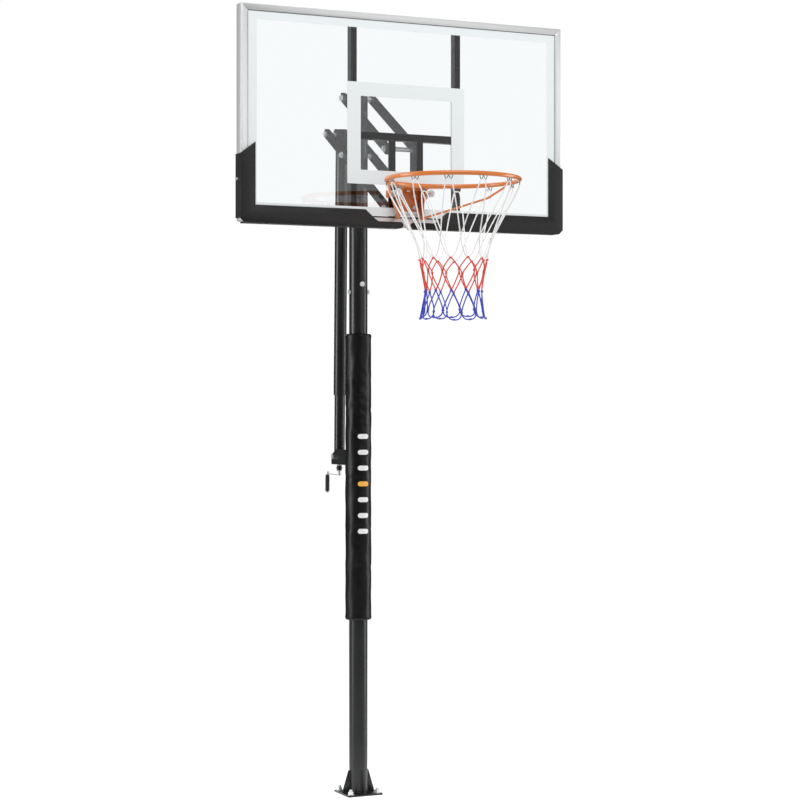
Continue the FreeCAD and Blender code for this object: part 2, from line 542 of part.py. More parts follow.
def corner_pads():
    out = f"({HALF} + 5)"
    under = "(board_bottom - 5)"
    inner = f"({out} - pad_face)"
    bevel_x = f"({inner} - pad_bevel)"
    sill = "(board_bottom + pad_sill)"
    bevel_z = f"({sill} + pad_bevel)"
    top = "(board_bottom + pad_rise)"
    for hand, sign in (("left", -1), ("right", 1)):
        def mirror(points):
            return [(f"{sign} * {a}", b) for a, b in points]
        tongue = [("150", sill), ("117", f"{sill} - 18"), ("24", f"{sill} - 18"), ("17", f"{sill} - 25"),
                  ("17", f"{under} + 7"), ("24", under)]
        end = [(f"({out} - pad_corner)", under), (out, f"{under} + pad_corner"), (out, top)]
        front = end + [(inner, f"{top} + 24"), (inner, sill)] + tongue
        back_tongue = [("167", bevel_z)] + tongue[1:]
        back = end + [(bevel_x, f"{top} + 44"), (bevel_x, bevel_z)] + back_tongue
        slab = bevelled(f"PadSlab{hand}", mirror(back), mirror(front), "-board_front - 0.3", "pad_proud")
        span = (f"{HALF} + 0.3", out) if sign > 0 else (f"-{out}", f"-({HALF} + 0.3)")
        side = box(f"PadSide{hand}", (span[0], "-board_front - 1", f"{under} + pad_corner + 2"),
                   (span[1], "-board_front + frame_deep - 4", top))
        edge = f"({out} - pad_corner - 2)"
        flat = ("24", edge) if sign > 0 else (f"-{edge}", "-24")
        floor = box(f"PadFloor{hand}", (flat[0], "-board_front - 1", under),
                    (flat[1], "-board_front + frame_deep - 4", "board_bottom - 0.3"))
        node(fuse(f"CornerPad{hand}", slab, side, floor), f"corner_pad_{hand}")
    screws = []
    for i, sign in enumerate((-1, 1)):
        at = f"{out}" if sign > 0 else f"-{out} - 3"
        screws.append(rod(f"PadScrew{i}", "5", (at, "-board_front + 28", f"{top} - 90"), "3", "x"))
        for k, spot in enumerate(("90", "400")):
            x = spot if sign > 0 else f"-{spot}"
            screws.append(rod(f"PadScrew{i}{k}", "5", (x, "-board_front + 25", f"{under} - 3"), "3"))
    node(gather("PadScrews", *screws), "pad_screws")


# ---------------------------------------------------------------- rear steelwork

RIM_BOLTS = [(x, z) for x in ("-rim_bolt_x", "rim_bolt_x") for z in ("rim_bolt_low", "rim_bolt_high")]


def rear_steel():
    low = "board_bottom + sill_face"
    high = f"{TOP} - frame_face"
    back = f"{GLASS_BACK} + steel_deep"
    for hand, sign in (("left", -1), ("right", 1)):
        near = "upright_inner" if sign > 0 else "-upright_inner - steel_wide"
        far = "upright_inner + steel_wide" if sign > 0 else "-upright_inner"
        shell = box(f"Upright{hand}Shell", (near, GLASS_BACK, low), (far, back, high))
        bore = box(f"Upright{hand}Bore", (f"{near} + 2", f"{GLASS_BACK} + 2", f"{low} - 1"),
                   (f"{far} - 2", f"{back} - 2", f"{high} + 1"))
        node(cut(f"Upright{hand}", shell, bore), f"rear_upright_{hand}")
    shell = box("CrossShell", ("-upright_inner", GLASS_BACK, "bar_low"), ("upright_inner", back, "bar_high"))
    bore = box("CrossBore", ("-upright_inner - 1", f"{GLASS_BACK} + 2", "bar_low + 2"),
               ("upright_inner + 1", f"{back} - 2", "bar_high - 2"))
    node(cut("CrossBar", shell, bore), "rear_cross_bar")

    low_hole = ("-arm_reach", "pivot_low - arm_drop", "pivot_radius + 0.2")
    high_hole = ("-arm_reach", "pivot_high - arm_drop", "pivot_radius + 0.2")
    for hand, sign in (("left", -1), ("right", 1)):
        rim = "(web_inner + flange_wide)"
        web_start = "web_inner" if sign > 0 else "-web_inner - web_thick"
        outline = [(GLASS_BACK, low), ("-web_rear - 8", low), ("-web_rear", f"{low} + 8"),
                   ("-web_rear", "bar_low"), (GLASS_BACK, "bar_low")]
        web = plate(f"Web{hand}", "YZ", outline, "web_thick", (web_start, "0", "0"), [low_hole, high_hole])
        span = ("web_inner", rim) if sign > 0 else (f"-{rim}", "-web_inner")
        flange = box(f"Flange{hand}", (span[0], GLASS_BACK, low),
                     (span[1], f"{GLASS_BACK} + web_thick", "bar_low"))
        node(fuse(f"ArmBracket{hand}", web, flange), f"arm_bracket_{hand}")

    plate_solid = box("BackingSolid", ("-web_inner", GLASS_BACK, "backing_low"),
                      ("web_inner", f"{GLASS_BACK} + 5", "backing_high"))
    bores = [rod(f"BackingHole{i}", "5.3", (x, "-board_front - 10", z), "40", "y")
             for i, (x, z) in enumerate(RIM_BOLTS)]
    node(cut("BackingPlate", plate_solid, *bores), "rim_backing_plate")

    face = "(arm_inner + arm_width)"
    bolts, nuts, spacers = [], [], []
    for name, height in (("Low", "pivot_low - arm_drop"), ("High", "pivot_high - arm_drop")):
        bolts.append(bolt_x(f"Board{name}", "pivot_radius", "-arm_reach", height, f"-{face} - 2",
                            f"{face} + 14"))
        nuts.append(nut_x(f"BoardNut{name}", "pivot_radius", "-arm_reach", height, f"{face} + 0.5"))
        start = ("-web_inner", "-arm_reach", height)
        tube = rod(f"BoardSpacer{name}", "8.5", start, "2 * web_inner", "x")
        bore = rod(f"BoardSpacerBore{name}", "pivot_radius + 0.2", start, "2 * web_inner", "x")
        spacers.append(cut(f"BoardSpacerCut{name}", tube, bore))
    node(gather("BoardBolts", *bolts), "board_pivot_bolts")
    node(gather("BoardNuts", *nuts), "board_pivot_nuts")
    node(gather("BoardSpacers", *spacers), "board_pivot_spacers")


# ---------------------------------------------------------------- rim

def rim_mount():
    """The part of the rim that stays bolted to the board."""
    outline = [("-44", "mount_low"), ("44", "mount_low"), ("44", "mount_step"), ("84", "mount_step"),
               ("84", "mount_high"), ("-84", "mount_high"), ("-84", "mount_step"), ("-44", "mount_step")]
    holes = [(x, z, "5.3") for x, z in RIM_BOLTS]
    slab = plate("MountSlab", "XZ", outline, "mount_thick", ("0", GLASS_FRONT, "0"), holes)
    ears = []
    for i, start in enumerate(("-42", "38")):
        profile = [(f"{GLASS_FRONT} - 3", "mount_low"), (f"{GLASS_FRONT} - 3", "mount_low + 22"),
                   ("-hinge_y - 6", "hinge_z + 15"), ("-hinge_y - 11", "hinge_z + 7"),
                   ("-hinge_y - 11", "hinge_z - 7"), ("-hinge_y - 4", "hinge_z - 13"),
                   ("-hinge_y + 8", "hinge_z - 9")]
        ears.append(plate(f"Ear{i}", "YZ", profile, "4", (start, "0", "0"), [("-hinge_y", "hinge_z", "5.2")]))
    node(fuse("RimMount", slab, *ears), "rim_mount_plate")

    bolts, nuts = [], []
    for i, (x, z) in enumerate(RIM_BOLTS):
        shank = rod(f"RimShank{i}", "5", (x, f"{GLASS_FRONT} - 6", z), "26", "y")
        head = hexagon(f"RimHead{i}", "8.5", (x, f"{GLASS_FRONT} - 11", z), "6", "y")
        bolts.append(fuse(f"RimBolt{i}", shank, head))
        nut = hexagon(f"RimNutHex{i}", "8.5", (x, f"{GLASS_BACK} + 5", z), "8", "y")
        bore = rod(f"RimNutBore{i}", "5.05", (x, "-board_front - 10", z), "60", "y")
        nuts.append(cut(f"RimNut{i}", nut, bore))
    node(gather("RimBolts", *bolts, *nuts), "rim_mount_bolts")

    reach = "bracket_inner + bracket_thick + 2"
    pin = rod("HingeShank", "5", (f"-({reach})", "-hinge_y", "hinge_z"), f"2 * ({reach})", "x")
    head_left = hexagon("HingeHeadLeft", "8", (f"-({reach}) - 5", "-hinge_y", "hinge_z"), "5.5", "x")
    head_right = hexagon("HingeHeadRight", "8", (f"{reach} - 0.5", "-hinge_y", "hinge_z"), "5.5", "x")
    node(fuse("HingePin", pin, head_left, head_right), "rim_hinge_pin")

    posts, coils = [], []
    for i, sign in enumerate((-1, 1)):
        x = "spring_x" if sign > 0 else "-spring_x"
        shank = rod(f"Post{i}Shank", "4", (x, "-spring_seat - 7", "spring_z"),
                    f"spring_seat + 7 + {GLASS_FRONT} - mount_thick", "y")
        washer = rod(f"Post{i}Washer", "spring_radius", (x, "-spring_seat", "spring_z"), "2", "y")
        nut = hexagon(f"Post{i}Nut", "7", (x, "-spring_seat - 6", "spring_z"), "6.5", "y")
        posts.append(fuse(f"Post{i}", shank, washer, nut))
        sleeve = rod(f"Coil{i}Outer", "spring_radius", (x, "-spring_seat + 2", "spring_z"),
                     "spring_length", "y")
        bore = rod(f"Coil{i}Bore", "spring_radius - 4", (x, "-spring_seat + 1", "spring_z"), "60", "y")
        coils.append(cut(f"Coil{i}", sleeve, bore))
    node(gather("SpringPosts", *posts), "rim_spring_posts")
    node(gather("Springs", *coils), "rim_springs")


def bent_rod(points, radius):
    """A round bar along straight runs, with round elbows."""
    solids = []
    for start, finish in zip(points, points[1:]):
        run = finish - start
        solids.append(Part.makeCylinder(radius, run.Length, start, run))
    solids += [Part.makeSphere(radius, point) for point in points[1:-1]]
    return solids[0].fuse(solids[1:]).removeSplitter()


def rim():
    torus = make("Part::Torus", "Ring", {"Radius1": "ring_radius", "Radius2": "rod_radius"},
                 ("0", "-ring_y", "ring_z"))
    node(torus, "rim_ring")

    side = [("-cheek_back", "cheek_low"), ("-484", "cheek_low"), ("-491", "cheek_low + 16"), ("-493", "2262"),
            ("-503", "deck_low - 14"), ("-515", "deck_low"), ("-cheek_back", "deck_low")]
    cheeks = [plate(f"RimCheek{i}", "YZ", side, "bracket_thick", (start, "0", "0"),
                    [("-hinge_y", "hinge_z", "5.05")])
              for i, start in enumerate(("-bracket_inner - bracket_thick", "bracket_inner"))]
    deck_outline = [("-50", "-cheek_back"), ("50", "-cheek_back"), ("50", "-532"), ("96", "-560"),
                    ("96", "-625"), ("-96", "-625"), ("-96", "-560"), ("-50", "-532")]
    deck = plate("Deck", "XY", deck_outline, "deck_thick", ("0", "0", "deck_low"))
    wings = []
    for i, sign in enumerate((-1, 1)):
        span = ("49", "82") if sign > 0 else ("-82", "-49")
        wing = box(f"Wing{i}", (span[0], "-cheek_back - 1", "mount_step + 1"),
                   (span[1], "-cheek_back + 3", "mount_high"))
        at = "spring_x" if sign > 0 else "-spring_x"
        wings.append(cut(f"WingCut{i}", wing, rod(f"WingHole{i}", "9", (at, "-460", "spring_z"), "20", "y")))
    inside = rod("RingInside", "ring_radius", ("0", "-ring_y", "ring_z - 30"), "60")
    around = make("Part::Torus", "RingRoom", {"Radius1": "ring_radius", "Radius2": "rod_radius"},
                  ("0", "-ring_y", "ring_z"))
    trimmed = cut("DeckTrimmed", deck, inside, around)
    node(fuse("RimBracket", *cheeks, trimmed, *wings), "rim_bracket")

    braces = doc.addObject("Part::Feature", "Braces")
    rods = []
    for sign in (-1, 1):
        x = value("bracket_inner + bracket_thick + brace_radius") * sign
        route = [V(x, -468, 2211), V(x, -486, 2212), V(sign * 193, -722, 2270), V(sign * 232, -784, 2306)]
        rods.append(bent_rod(route, value("brace_radius")))
    braces.Shape = Part.makeCompound(rods)
    node(braces, "rim_braces")

    hooks = []
    for i in range(12):
        angle = 360 / 12 * i
        drop = "rod_radius + hook_radius + 1.1"
        loop = make("Part::Torus", f"Hook{i}", {"Radius1": "hook_radius", "Radius2": "hook_wire"},
                    ("ring_radius", "0", f"ring_z - ({drop})"), (Y_AXIS, "90"))
        about = doc.addObject("Part::Compound", f"HookTurned{i}")
        about.Links = [loop]
        put(about, ("0", "-ring_y", "0"), (Z_AXIS, str(angle)))
        hooks.append(about)
    node(gather("NetHooks", *hooks), "net_hooks")


def net():
    bands = [("net_upper", (("226", "net_top"), ("168", "net_top - 120"), ("122", "net_red"))),
             ("net_middle", (("122", "net_red"), ("104", "net_blue"))),
             ("net_lower", (("104", "net_blue"), ("112", "net_end + 40"), ("118", "net_end")))]
    for name, outside in bands:
        inside = [(f"{radius} - net_thick", height) for radius, height in reversed(outside)]
        body = turned(name, list(outside) + inside)
        node(put(body, ("0", "-ring_y", "0")), name)


foot()
pole()
lifting_arms()
jack()
backboard()
corner_pads()
rear_steel()
rim_mount()
rim()
net()
doc.recompute()

for item in doc.Objects:
    if "Invalid" in item.State or "Error" in item.State:
        raise RuntimeError(f"{item.Name} did not compute: {item.State}")
for item in NODES:
    if item.Shape.isNull() or not item.Shape.isValid():
        raise RuntimeError(f"{item.Label} has no valid shape")

os.makedirs("parts", exist_ok=True)
for item in NODES:
    item.Shape.exportStep(f"parts/{item.Label}.step")
print(len(NODES), "nodes")
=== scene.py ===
import json
import math

import bpy
from mathutils import Matrix, Vector

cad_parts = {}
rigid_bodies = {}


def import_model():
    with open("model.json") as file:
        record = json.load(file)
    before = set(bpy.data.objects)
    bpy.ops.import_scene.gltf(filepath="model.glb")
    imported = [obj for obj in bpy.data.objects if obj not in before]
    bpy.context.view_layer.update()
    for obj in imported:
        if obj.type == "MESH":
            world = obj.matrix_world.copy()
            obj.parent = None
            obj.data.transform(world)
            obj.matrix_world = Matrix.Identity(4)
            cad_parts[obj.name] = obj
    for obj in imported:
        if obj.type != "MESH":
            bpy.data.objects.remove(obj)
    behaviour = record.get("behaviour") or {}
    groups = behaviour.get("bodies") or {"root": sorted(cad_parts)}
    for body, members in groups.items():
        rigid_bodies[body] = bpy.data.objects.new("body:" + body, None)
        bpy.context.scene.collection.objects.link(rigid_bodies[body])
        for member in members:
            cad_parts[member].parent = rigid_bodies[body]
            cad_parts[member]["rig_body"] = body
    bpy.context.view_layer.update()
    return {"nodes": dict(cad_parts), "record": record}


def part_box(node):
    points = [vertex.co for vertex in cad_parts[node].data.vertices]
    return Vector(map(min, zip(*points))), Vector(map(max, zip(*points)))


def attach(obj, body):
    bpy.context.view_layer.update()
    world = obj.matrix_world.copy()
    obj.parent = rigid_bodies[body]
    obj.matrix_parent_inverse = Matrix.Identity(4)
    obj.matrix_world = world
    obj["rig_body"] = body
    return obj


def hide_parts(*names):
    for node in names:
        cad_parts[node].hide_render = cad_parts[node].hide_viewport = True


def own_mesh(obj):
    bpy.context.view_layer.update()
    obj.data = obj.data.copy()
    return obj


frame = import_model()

# A bolt-down basketball hoop with a crank-raised backboard. Metres, +Z up, the rim towards -Y.

RING_CENTRE = Vector((0, -0.831, 2.319))
RING_RADIUS = 0.2365
GLASS_FRONT = -0.443

# The arms: their slope at rest, the run from pole pivot to board pivot, and the heights of the pole pivots.
ARM_TILT = math.radians(31.15)
ARM_RUN = math.hypot(0.397, 0.240)
ARM_OVER = 0.018
ARM_OFF_CENTRE = 0.060
ARM_WIDTH, ARM_DEPTH, ARM_WALL = 0.020, 0.030, 0.002
ARMS = {"lower": {"pivot": 2.492, "tail": 0.1905}, "upper": {"pivot": 2.713, "tail": 0.0}}

# The printed column on the pad: the middle bar's height, the spacing, and half a bar's straight and round.
PRINT_MIDDLE, PRINT_STEP = 1.211, 0.0615
BAR_STRAIGHT, BAR_ROUND = 0.0125, 0.0095
BARS_EACH_WAY = 3


# ---------------------------------------------------------------- modelling helpers

def activate(piece):
    if bpy.context.object and bpy.context.object.mode != "OBJECT":
        bpy.ops.object.mode_set(mode="OBJECT")
    bpy.ops.object.select_all(action="DESELECT")
    piece.select_set(True)
    bpy.context.view_layer.objects.active = piece


def deselect():
    if bpy.context.object and bpy.context.object.mode != "OBJECT":
        bpy.ops.object.mode_set(mode="OBJECT")
    bpy.ops.object.select_all(action="DESELECT")


def newest(name):
    """The object a primitive operator has just added, named and settled."""
    piece = bpy.context.object
    piece.name = name
    piece.data.name = name
    activate(piece)
    bpy.ops.object.transform_apply(location=True, rotation=True, scale=True)
    return piece


def modify(piece, kind, **settings):
    activate(piece)
    item = piece.modifiers.new(kind.lower(), kind)
    for field, value in settings.items():
        setattr(item, field, value)
    bpy.ops.object.modifier_apply(modifier=item.name)
    return piece


def move(piece, matrix):
    piece.data.transform(matrix)
    piece.data.update()
    return piece


def join(name, pieces):
    activate(pieces[0])
    for piece in pieces[1:]:
        piece.select_set(True)
    bpy.ops.object.join()
    joined = bpy.context.object
    joined.name = name
    joined.data.name = name
    return joined


def smooth(piece, angle=35):
    activate(piece)
    bpy.ops.object.shade_smooth_by_angle(angle=math.radians(angle))
    return piece


def outward(piece):
    activate(piece)
    bpy.ops.object.mode_set(mode="EDIT")
    bpy.ops.mesh.select_all(action="SELECT")
    bpy.ops.mesh.remove_doubles(threshold=0.00001)
    bpy.ops.mesh.normals_make_consistent(inside=False)
    bpy.ops.object.mode_set(mode="OBJECT")
    return piece


def dress(piece, material, body, slot, *nodes):
    """Give a finished piece its material and its body, and hide the CAD nodes it stands for; the slot is not
    used.
    """
    piece.data.materials.clear()
    piece.data.materials.append(material)
    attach(piece, body)
    if nodes:
        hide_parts(*nodes)
    return piece


def block(name, centre, size, bevel=0.0, segments=2):
    deselect()
    bpy.ops.mesh.primitive_cube_add(size=1, location=centre)
    bpy.context.object.scale = size
    piece = newest(name)
    if bevel:
        modify(piece, "BEVEL", width=bevel, segments=segments)
    return piece


def tube(name, paths, radius, sides=1, radii=None):
    """Round bars along lists of points, as one closed mesh."""
    curve = bpy.data.curves.new(name, "CURVE")
    curve.dimensions = "3D"
    curve.bevel_depth = radius
    curve.bevel_resolution = sides
    curve.use_fill_caps = True
    for path in paths:
        spline = curve.splines.new("POLY")
        spline.points.add(len(path) - 1)
        for i, point in enumerate(path):
            spline.points[i].co = (*point, 1)
            spline.points[i].radius = radii(i) if radii else 1.0
    piece = bpy.data.objects.new(name, curve)
    bpy.context.scene.collection.objects.link(piece)
    activate(piece)
    bpy.ops.object.convert(target="MESH")
    piece = bpy.context.object
    piece.data.name = name
    for face in piece.data.polygons:
        face.use_smooth = True
    return piece


def rippled(least, extra):
    """The swell of a weld bead from one point to the next."""
    return lambda i: least + extra * (i % 2)


def nurbs_points(points, fineness):
    """Points read along one smooth spline through a cord's control points."""
    curve = bpy.data.curves.new("route", "CURVE")
    curve.dimensions = "3D"
    curve.resolution_u = fineness
    spline = curve.splines.new("NURBS")
    spline.points.add(len(points) - 1)
    for i, point in enumerate(points):
        spline.points[i].co = (*point, 1)
    spline.order_u = 3
    spline.use_endpoint_u = True
    holder = bpy.data.objects.new("route", curve)
    mesh = bpy.data.meshes.new_from_object(holder)
    found = [v.co.copy() for v in mesh.vertices]
    bpy.data.meshes.remove(mesh)
    bpy.data.objects.remove(holder)
    bpy.data.curves.remove(curve)
    return found


def even(points, step):
    """The same line, with its points an even step apart."""
    out, left = [points[0]], step
    for a, b in zip(points, points[1:]):
        run = (b - a).length
        place = left
        while place <= run:
            out.append(a.lerp(b, place / run))
            place += step
        left = place - run
    out.append(points[-1])
    return out


def twisted(points, radius, pitch, plies=3, step=0.0018):
    """The centre lines of a cord's plies, wound about its own line."""
    line = even(points, step)
    lines = [[] for _ in range(plies)]
    side = Vector((0, 0, 1)).cross(line[1] - line[0])
    if side.length < 1e-6:
        side = Vector((1, 0, 0))
    side.normalize()
    travelled = 0.0
    for i, point in enumerate(line):
        ahead = line[min(i + 1, len(line) - 1)] - line[max(i - 1, 0)]
        ahead.normalize()
        side = (side - ahead * side.dot(ahead)).normalized()
        across = ahead.cross(side)
        if i:
            travelled += (point - line[i - 1]).length
        for k in range(plies):
            angle = math.tau * (travelled / pitch + k / plies)
            lines[k].append(point + radius * (math.cos(angle) * side + math.sin(angle) * across))
    return lines


def eased(name, width, material, slot, angle=35, segments=2):
    """A copy of a CAD piece with its sharp edges rounded, standing for it."""
    node = frame["nodes"][name]
    piece = bpy.data.objects.new(f"{name}_eased", node.data.copy())
    bpy.context.scene.collection.objects.link(piece)
    activate(piece)
    bpy.ops.object.mode_set(mode="EDIT")
    bpy.ops.mesh.select_all(action="SELECT")
    bpy.ops.mesh.remove_doubles(threshold=0.00002)
    bpy.ops.mesh.dissolve_limited(angle_limit=math.radians(0.5))
    bpy.ops.object.mode_set(mode="OBJECT")
    modify(piece, "BEVEL", width=width, segments=segments, limit_method="ANGLE",
           angle_limit=math.radians(angle))
    smooth(piece, 40)
    return dress(piece, material, node["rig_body"], slot, name)


# ---------------------------------------------------------------- materials

def add(tree, kind, **settings):
    item = tree.nodes.new(kind)
    for field, value in settings.items():
        setattr(item, field, value)
    return item


def surface(name, dark, light, rough, grain, bump, metallic=0.0, drift=7.0, stretch=(1, 1, 1),
            distance=0.0004, sockets=None):
    """A finish with a slow drift of colour and gloss, and a fine raised grain."""
    material = bpy.data.materials.new(name)
    material.use_nodes = True
    tree = material.node_tree
    shader = tree.nodes["Principled BSDF"]
    shader.inputs["Metallic"].default_value = metallic
    for socket, value in (sockets or {}).items():
        shader.inputs[socket].default_value = value
    place = add(tree, "ShaderNodeTexCoord")
    mapping = add(tree, "ShaderNodeMapping")
    mapping.inputs["Scale"].default_value = stretch
    tree.links.new(place.outputs["Object"], mapping.inputs["Vector"])
    slow = add(tree, "ShaderNodeTexNoise")
    slow.inputs["Scale"].default_value = drift
    slow.inputs["Detail"].default_value = 5
    tree.links.new(mapping.outputs["Vector"], slow.inputs["Vector"])
    tint = add(tree, "ShaderNodeMix", data_type="RGBA")
    tint.inputs["A"].default_value = (*dark, 1)
    tint.inputs["B"].default_value = (*light, 1)
    tree.links.new(slow.outputs["Fac"], tint.inputs["Factor"])
    tree.links.new(tint.outputs["Result"], shader.inputs["Base Color"])
    gloss = add(tree, "ShaderNodeMapRange")
    gloss.inputs["From Min"].default_value = 0.3
    gloss.inputs["From Max"].default_value = 0.7
    gloss.inputs["To Min"].default_value, gloss.inputs["To Max"].default_value = rough
    tree.links.new(slow.outputs["Fac"], gloss.inputs["Value"])
    tree.links.new(gloss.outputs["Result"], shader.inputs["Roughness"])
    fine = add(tree, "ShaderNodeTexNoise")
    fine.inputs["Scale"].default_value = grain
    fine.inputs["Detail"].default_value = 3
    tree.links.new(mapping.outputs["Vector"], fine.inputs["Vector"])
    raised = add(tree, "ShaderNodeBump")
    raised.inputs["Strength"].default_value = bump
    raised.inputs["Distance"].default_value = distance
    tree.links.new(fine.outputs["Fac"], raised.inputs["Height"])
    tree.links.new(raised.outputs["Normal"], shader.inputs["Normal"])
    return material


def arithmetic(tree, operation, *values):
    item = add(tree, "ShaderNodeMath", operation=operation)
    for socket, value in zip(item.inputs, values):
        if isinstance(value, (int, float)):
            socket.default_value = value
        else:
            tree.links.new(value, socket)
    return item.outputs["Value"]


def pad_finish():
    """Grained black vinyl with a column of plain bars printed on the front."""
    material = surface("pad_vinyl", (0.0025, 0.0025, 0.003), (0.006, 0.006, 0.0065), (0.30, 0.42), 420, 0.50,
                       drift=9, distance=0.0006, sockets={"Specular IOR Level": 0.32})
    tree = material.node_tree
    shader = tree.nodes["Principled BSDF"]
    tint = shader.inputs["Base Color"].links[0].from_node
    place = tree.nodes["Texture Coordinate"]
    split = add(tree, "ShaderNodeSeparateXYZ")
    tree.links.new(place.outputs["Object"], split.inputs["Vector"])
    across, depth, height = split.outputs["X"], split.outputs["Y"], split.outputs["Z"]
    front = arithmetic(tree, "LESS_THAN", depth, 0.0)
    last = tint.outputs["Result"]
    white, orange = (0.78, 0.78, 0.78), (0.86, 0.42, 0.06)
    off_centre = arithmetic(tree, "ABSOLUTE", across)
    beyond = arithmetic(tree, "MAXIMUM", arithmetic(tree, "SUBTRACT", off_centre, BAR_STRAIGHT), 0.0)
    beyond_squared = arithmetic(tree, "MULTIPLY", beyond, beyond)
    for bar in range(-BARS_EACH_WAY, BARS_EACH_WAY + 1):
        colour = orange if bar == 0 else white
        up = arithmetic(tree, "SUBTRACT", height, PRINT_MIDDLE + bar * PRINT_STEP)
        away_squared = arithmetic(tree, "ADD", arithmetic(tree, "MULTIPLY", up, up), beyond_squared)
        away = arithmetic(tree, "SQRT", away_squared)
        inside = arithmetic(tree, "MULTIPLY", arithmetic(tree, "LESS_THAN", away, BAR_ROUND), front)
        paint = add(tree, "ShaderNodeMix", data_type="RGBA")
        paint.inputs["B"].default_value = (*colour, 1)
        tree.links.new(inside, paint.inputs["Factor"])
        tree.links.new(last, paint.inputs["A"])
        last = paint.outputs["Result"]
    tree.links.new(last, shader.inputs["Base Color"])
    return material


STEEL = surface("black_powder_coat", (0.0075, 0.008, 0.0085), (0.015, 0.016, 0.017), (0.25, 0.37),
                900, 0.30, drift=6, sockets={"Specular IOR Level": 0.5})
ZINC = surface("bright_zinc", (0.62, 0.63, 0.64), (0.84, 0.85, 0.86), (0.25, 0.42), 500, 0.15, metallic=0.5,
               drift=60)
RAIL_ALONG = surface("brushed_aluminium_level", (0.66, 0.67, 0.675), (0.82, 0.83, 0.835), (0.28, 0.42),
                     160, 0.25, metallic=0.72, drift=5, stretch=(0.06, 6, 6))
# The upright rails are the same brushed aluminium as the level rails, brushed the other way and given a
# lighter colour: a painted highlight for the brighter side rails.
RAIL_UP_PAINTED_LIGHTER = surface("brushed_aluminium_upright", (0.74, 0.75, 0.755), (0.91, 0.92, 0.925), (0.28, 0.42),
                  160, 0.25, metallic=0.62, drift=5, stretch=(6, 6, 0.06))
PLASTIC = surface("moulded_black", (0.008, 0.0075, 0.0078), (0.016, 0.015, 0.0155), (0.40, 0.55), 1100, 0.5,
                  drift=12, sockets={"Specular IOR Level": 0.45})
ORANGE = surface("orange_powder_coat", (0.58, 0.150, 0.019), (0.72, 0.205, 0.033), (0.28, 0.38), 700, 0.25,
                 drift=14, sockets={"Coat Weight": 0.7, "Coat Roughness": 0.13})
NYLON = surface("natural_nylon", (0.62, 0.61, 0.57), (0.76, 0.75, 0.71), (0.45, 0.6), 300, 0.2)
BRONZE = surface("turned_bronze", (0.45, 0.26, 0.10), (0.62, 0.40, 0.18), (0.3, 0.45), 500, 0.2,
                 metallic=1.0, drift=40)
PAINT = surface("white_screen_print", (0.69, 0.73, 0.74), (0.73, 0.77, 0.78), (0.4, 0.55), 600, 0.1, drift=3)
CLEAR = surface("clear_panel", (0.905, 0.928, 0.936), (0.915, 0.936, 0.944), (0.0, 0.02), 3, 0.02, drift=1.5,
                distance=0.0002, sockets={"Transmission Weight": 1.0, "IOR": 1.58})
VINYL = pad_finish()
GALVANISED = surface("dull_wire", (0.22, 0.22, 0.23), (0.36, 0.36, 0.37), (0.35, 0.5), 500, 0.2,
                     metallic=1.0, drift=50)
SPRING = surface("plated_spring_wire", (0.62, 0.62, 0.62), (0.80, 0.80, 0.80), (0.25, 0.4), 400, 0.1,
                 metallic=1.0, drift=50)


def cord_finish(colour, dark, light, sheen):
    return surface(f"{colour}_cord", dark, light, (0.6, 0.75), 1500, 0.6, drift=40,
                   sockets={"Sheen Weight": sheen})


CORDS = {"white": cord_finish("white", (0.78, 0.78, 0.775), (0.90, 0.90, 0.895), 0.3),
         "red": cord_finish("red", (0.62, 0.035, 0.018), (0.78, 0.07, 0.04), 0.25),
         "blue": cord_finish("blue", (0.015, 0.03, 0.42), (0.03, 0.06, 0.62), 0.25)}

SLOT_FINISH = {"black_steel": STEEL, "zinc_steel": ZINC, "aluminium": RAIL_ALONG, "clear_panel": CLEAR,
               "black_plastic": PLASTIC, "pad_vinyl": VINYL, "orange_steel": ORANGE, "nylon": NYLON,
               "bronze": BRONZE, "net_white": CORDS["white"], "net_red": CORDS["red"],
               "net_blue": CORDS["blue"]}


def finish_cad_nodes():
    """Every CAD piece takes its slot's procedural finish."""
    for part in frame["record"]["subparts"]:
        node = frame["nodes"].get(part["node"])
        if node:
            node.data.materials.clear()
            node.data.materials.append(SLOT_FINISH[part["material_slot"]])


# ---------------------------------------------------------------- camera, lights and floor

CAMERA_PLACE, CAMERA_BEARING, FOCAL_LENGTH, SENSOR = (-3.2902, -7.44855, 1.53718), -24.98, 93.68, 36

# How bright the room is: seen straight or through the glass, in a mirror-like reflection, and as soft light.
ROOM_SEEN, ROOM_MIRRORED, ROOM_SOFT = 1.02, 0.07, 0.55

# Each light's place, the point it faces, its width and height, and its power in watts.
LIGHTS = {
    "softbox_front": ((2.25, -5.2, 3.2), (0, -0.4, 2.5), (4.4, 3.4), 44),
    "strip_right": ((4.1, -1.3, 1.6), (0, 0, 1.6), (1.7, 4.0), 74),
    "strip_left": ((-4.1, 0.65, 2.55), (0, 0, 2.55), (1.4, 2.9), 96),
    "strip_left_low": ((-4.1, 0.65, 0.35), (0, 0, 0.35), (1.4, 1.5), 20),
    "softbox_back": ((1.3, 4.4, 3.0), (0, -0.2, 2.0), (2.4, 2.6), 60),
    "softbox_top": ((-0.6, -2.6, 5.6), (0, -0.4, 1.8), (2.4, 2.4), 95),
}

# The floor: its radius, and the two fades of its edge as (start, end, what is left).
FLOOR_RADIUS = 7.5
FLOOR_FADES = ((0.3, 1.2, 0.45), (0.9, 7.0, 0.0))


def add_camera():
    lens = bpy.data.cameras.new("camera")
    lens.lens = FOCAL_LENGTH
    lens.sensor_width = SENSOR
    camera = bpy.data.objects.new("camera", lens)
    camera.location = CAMERA_PLACE
    camera.rotation_euler = (math.pi / 2, 0, math.radians(CAMERA_BEARING))
    bpy.context.scene.collection.objects.link(camera)
    bpy.context.scene.camera = camera


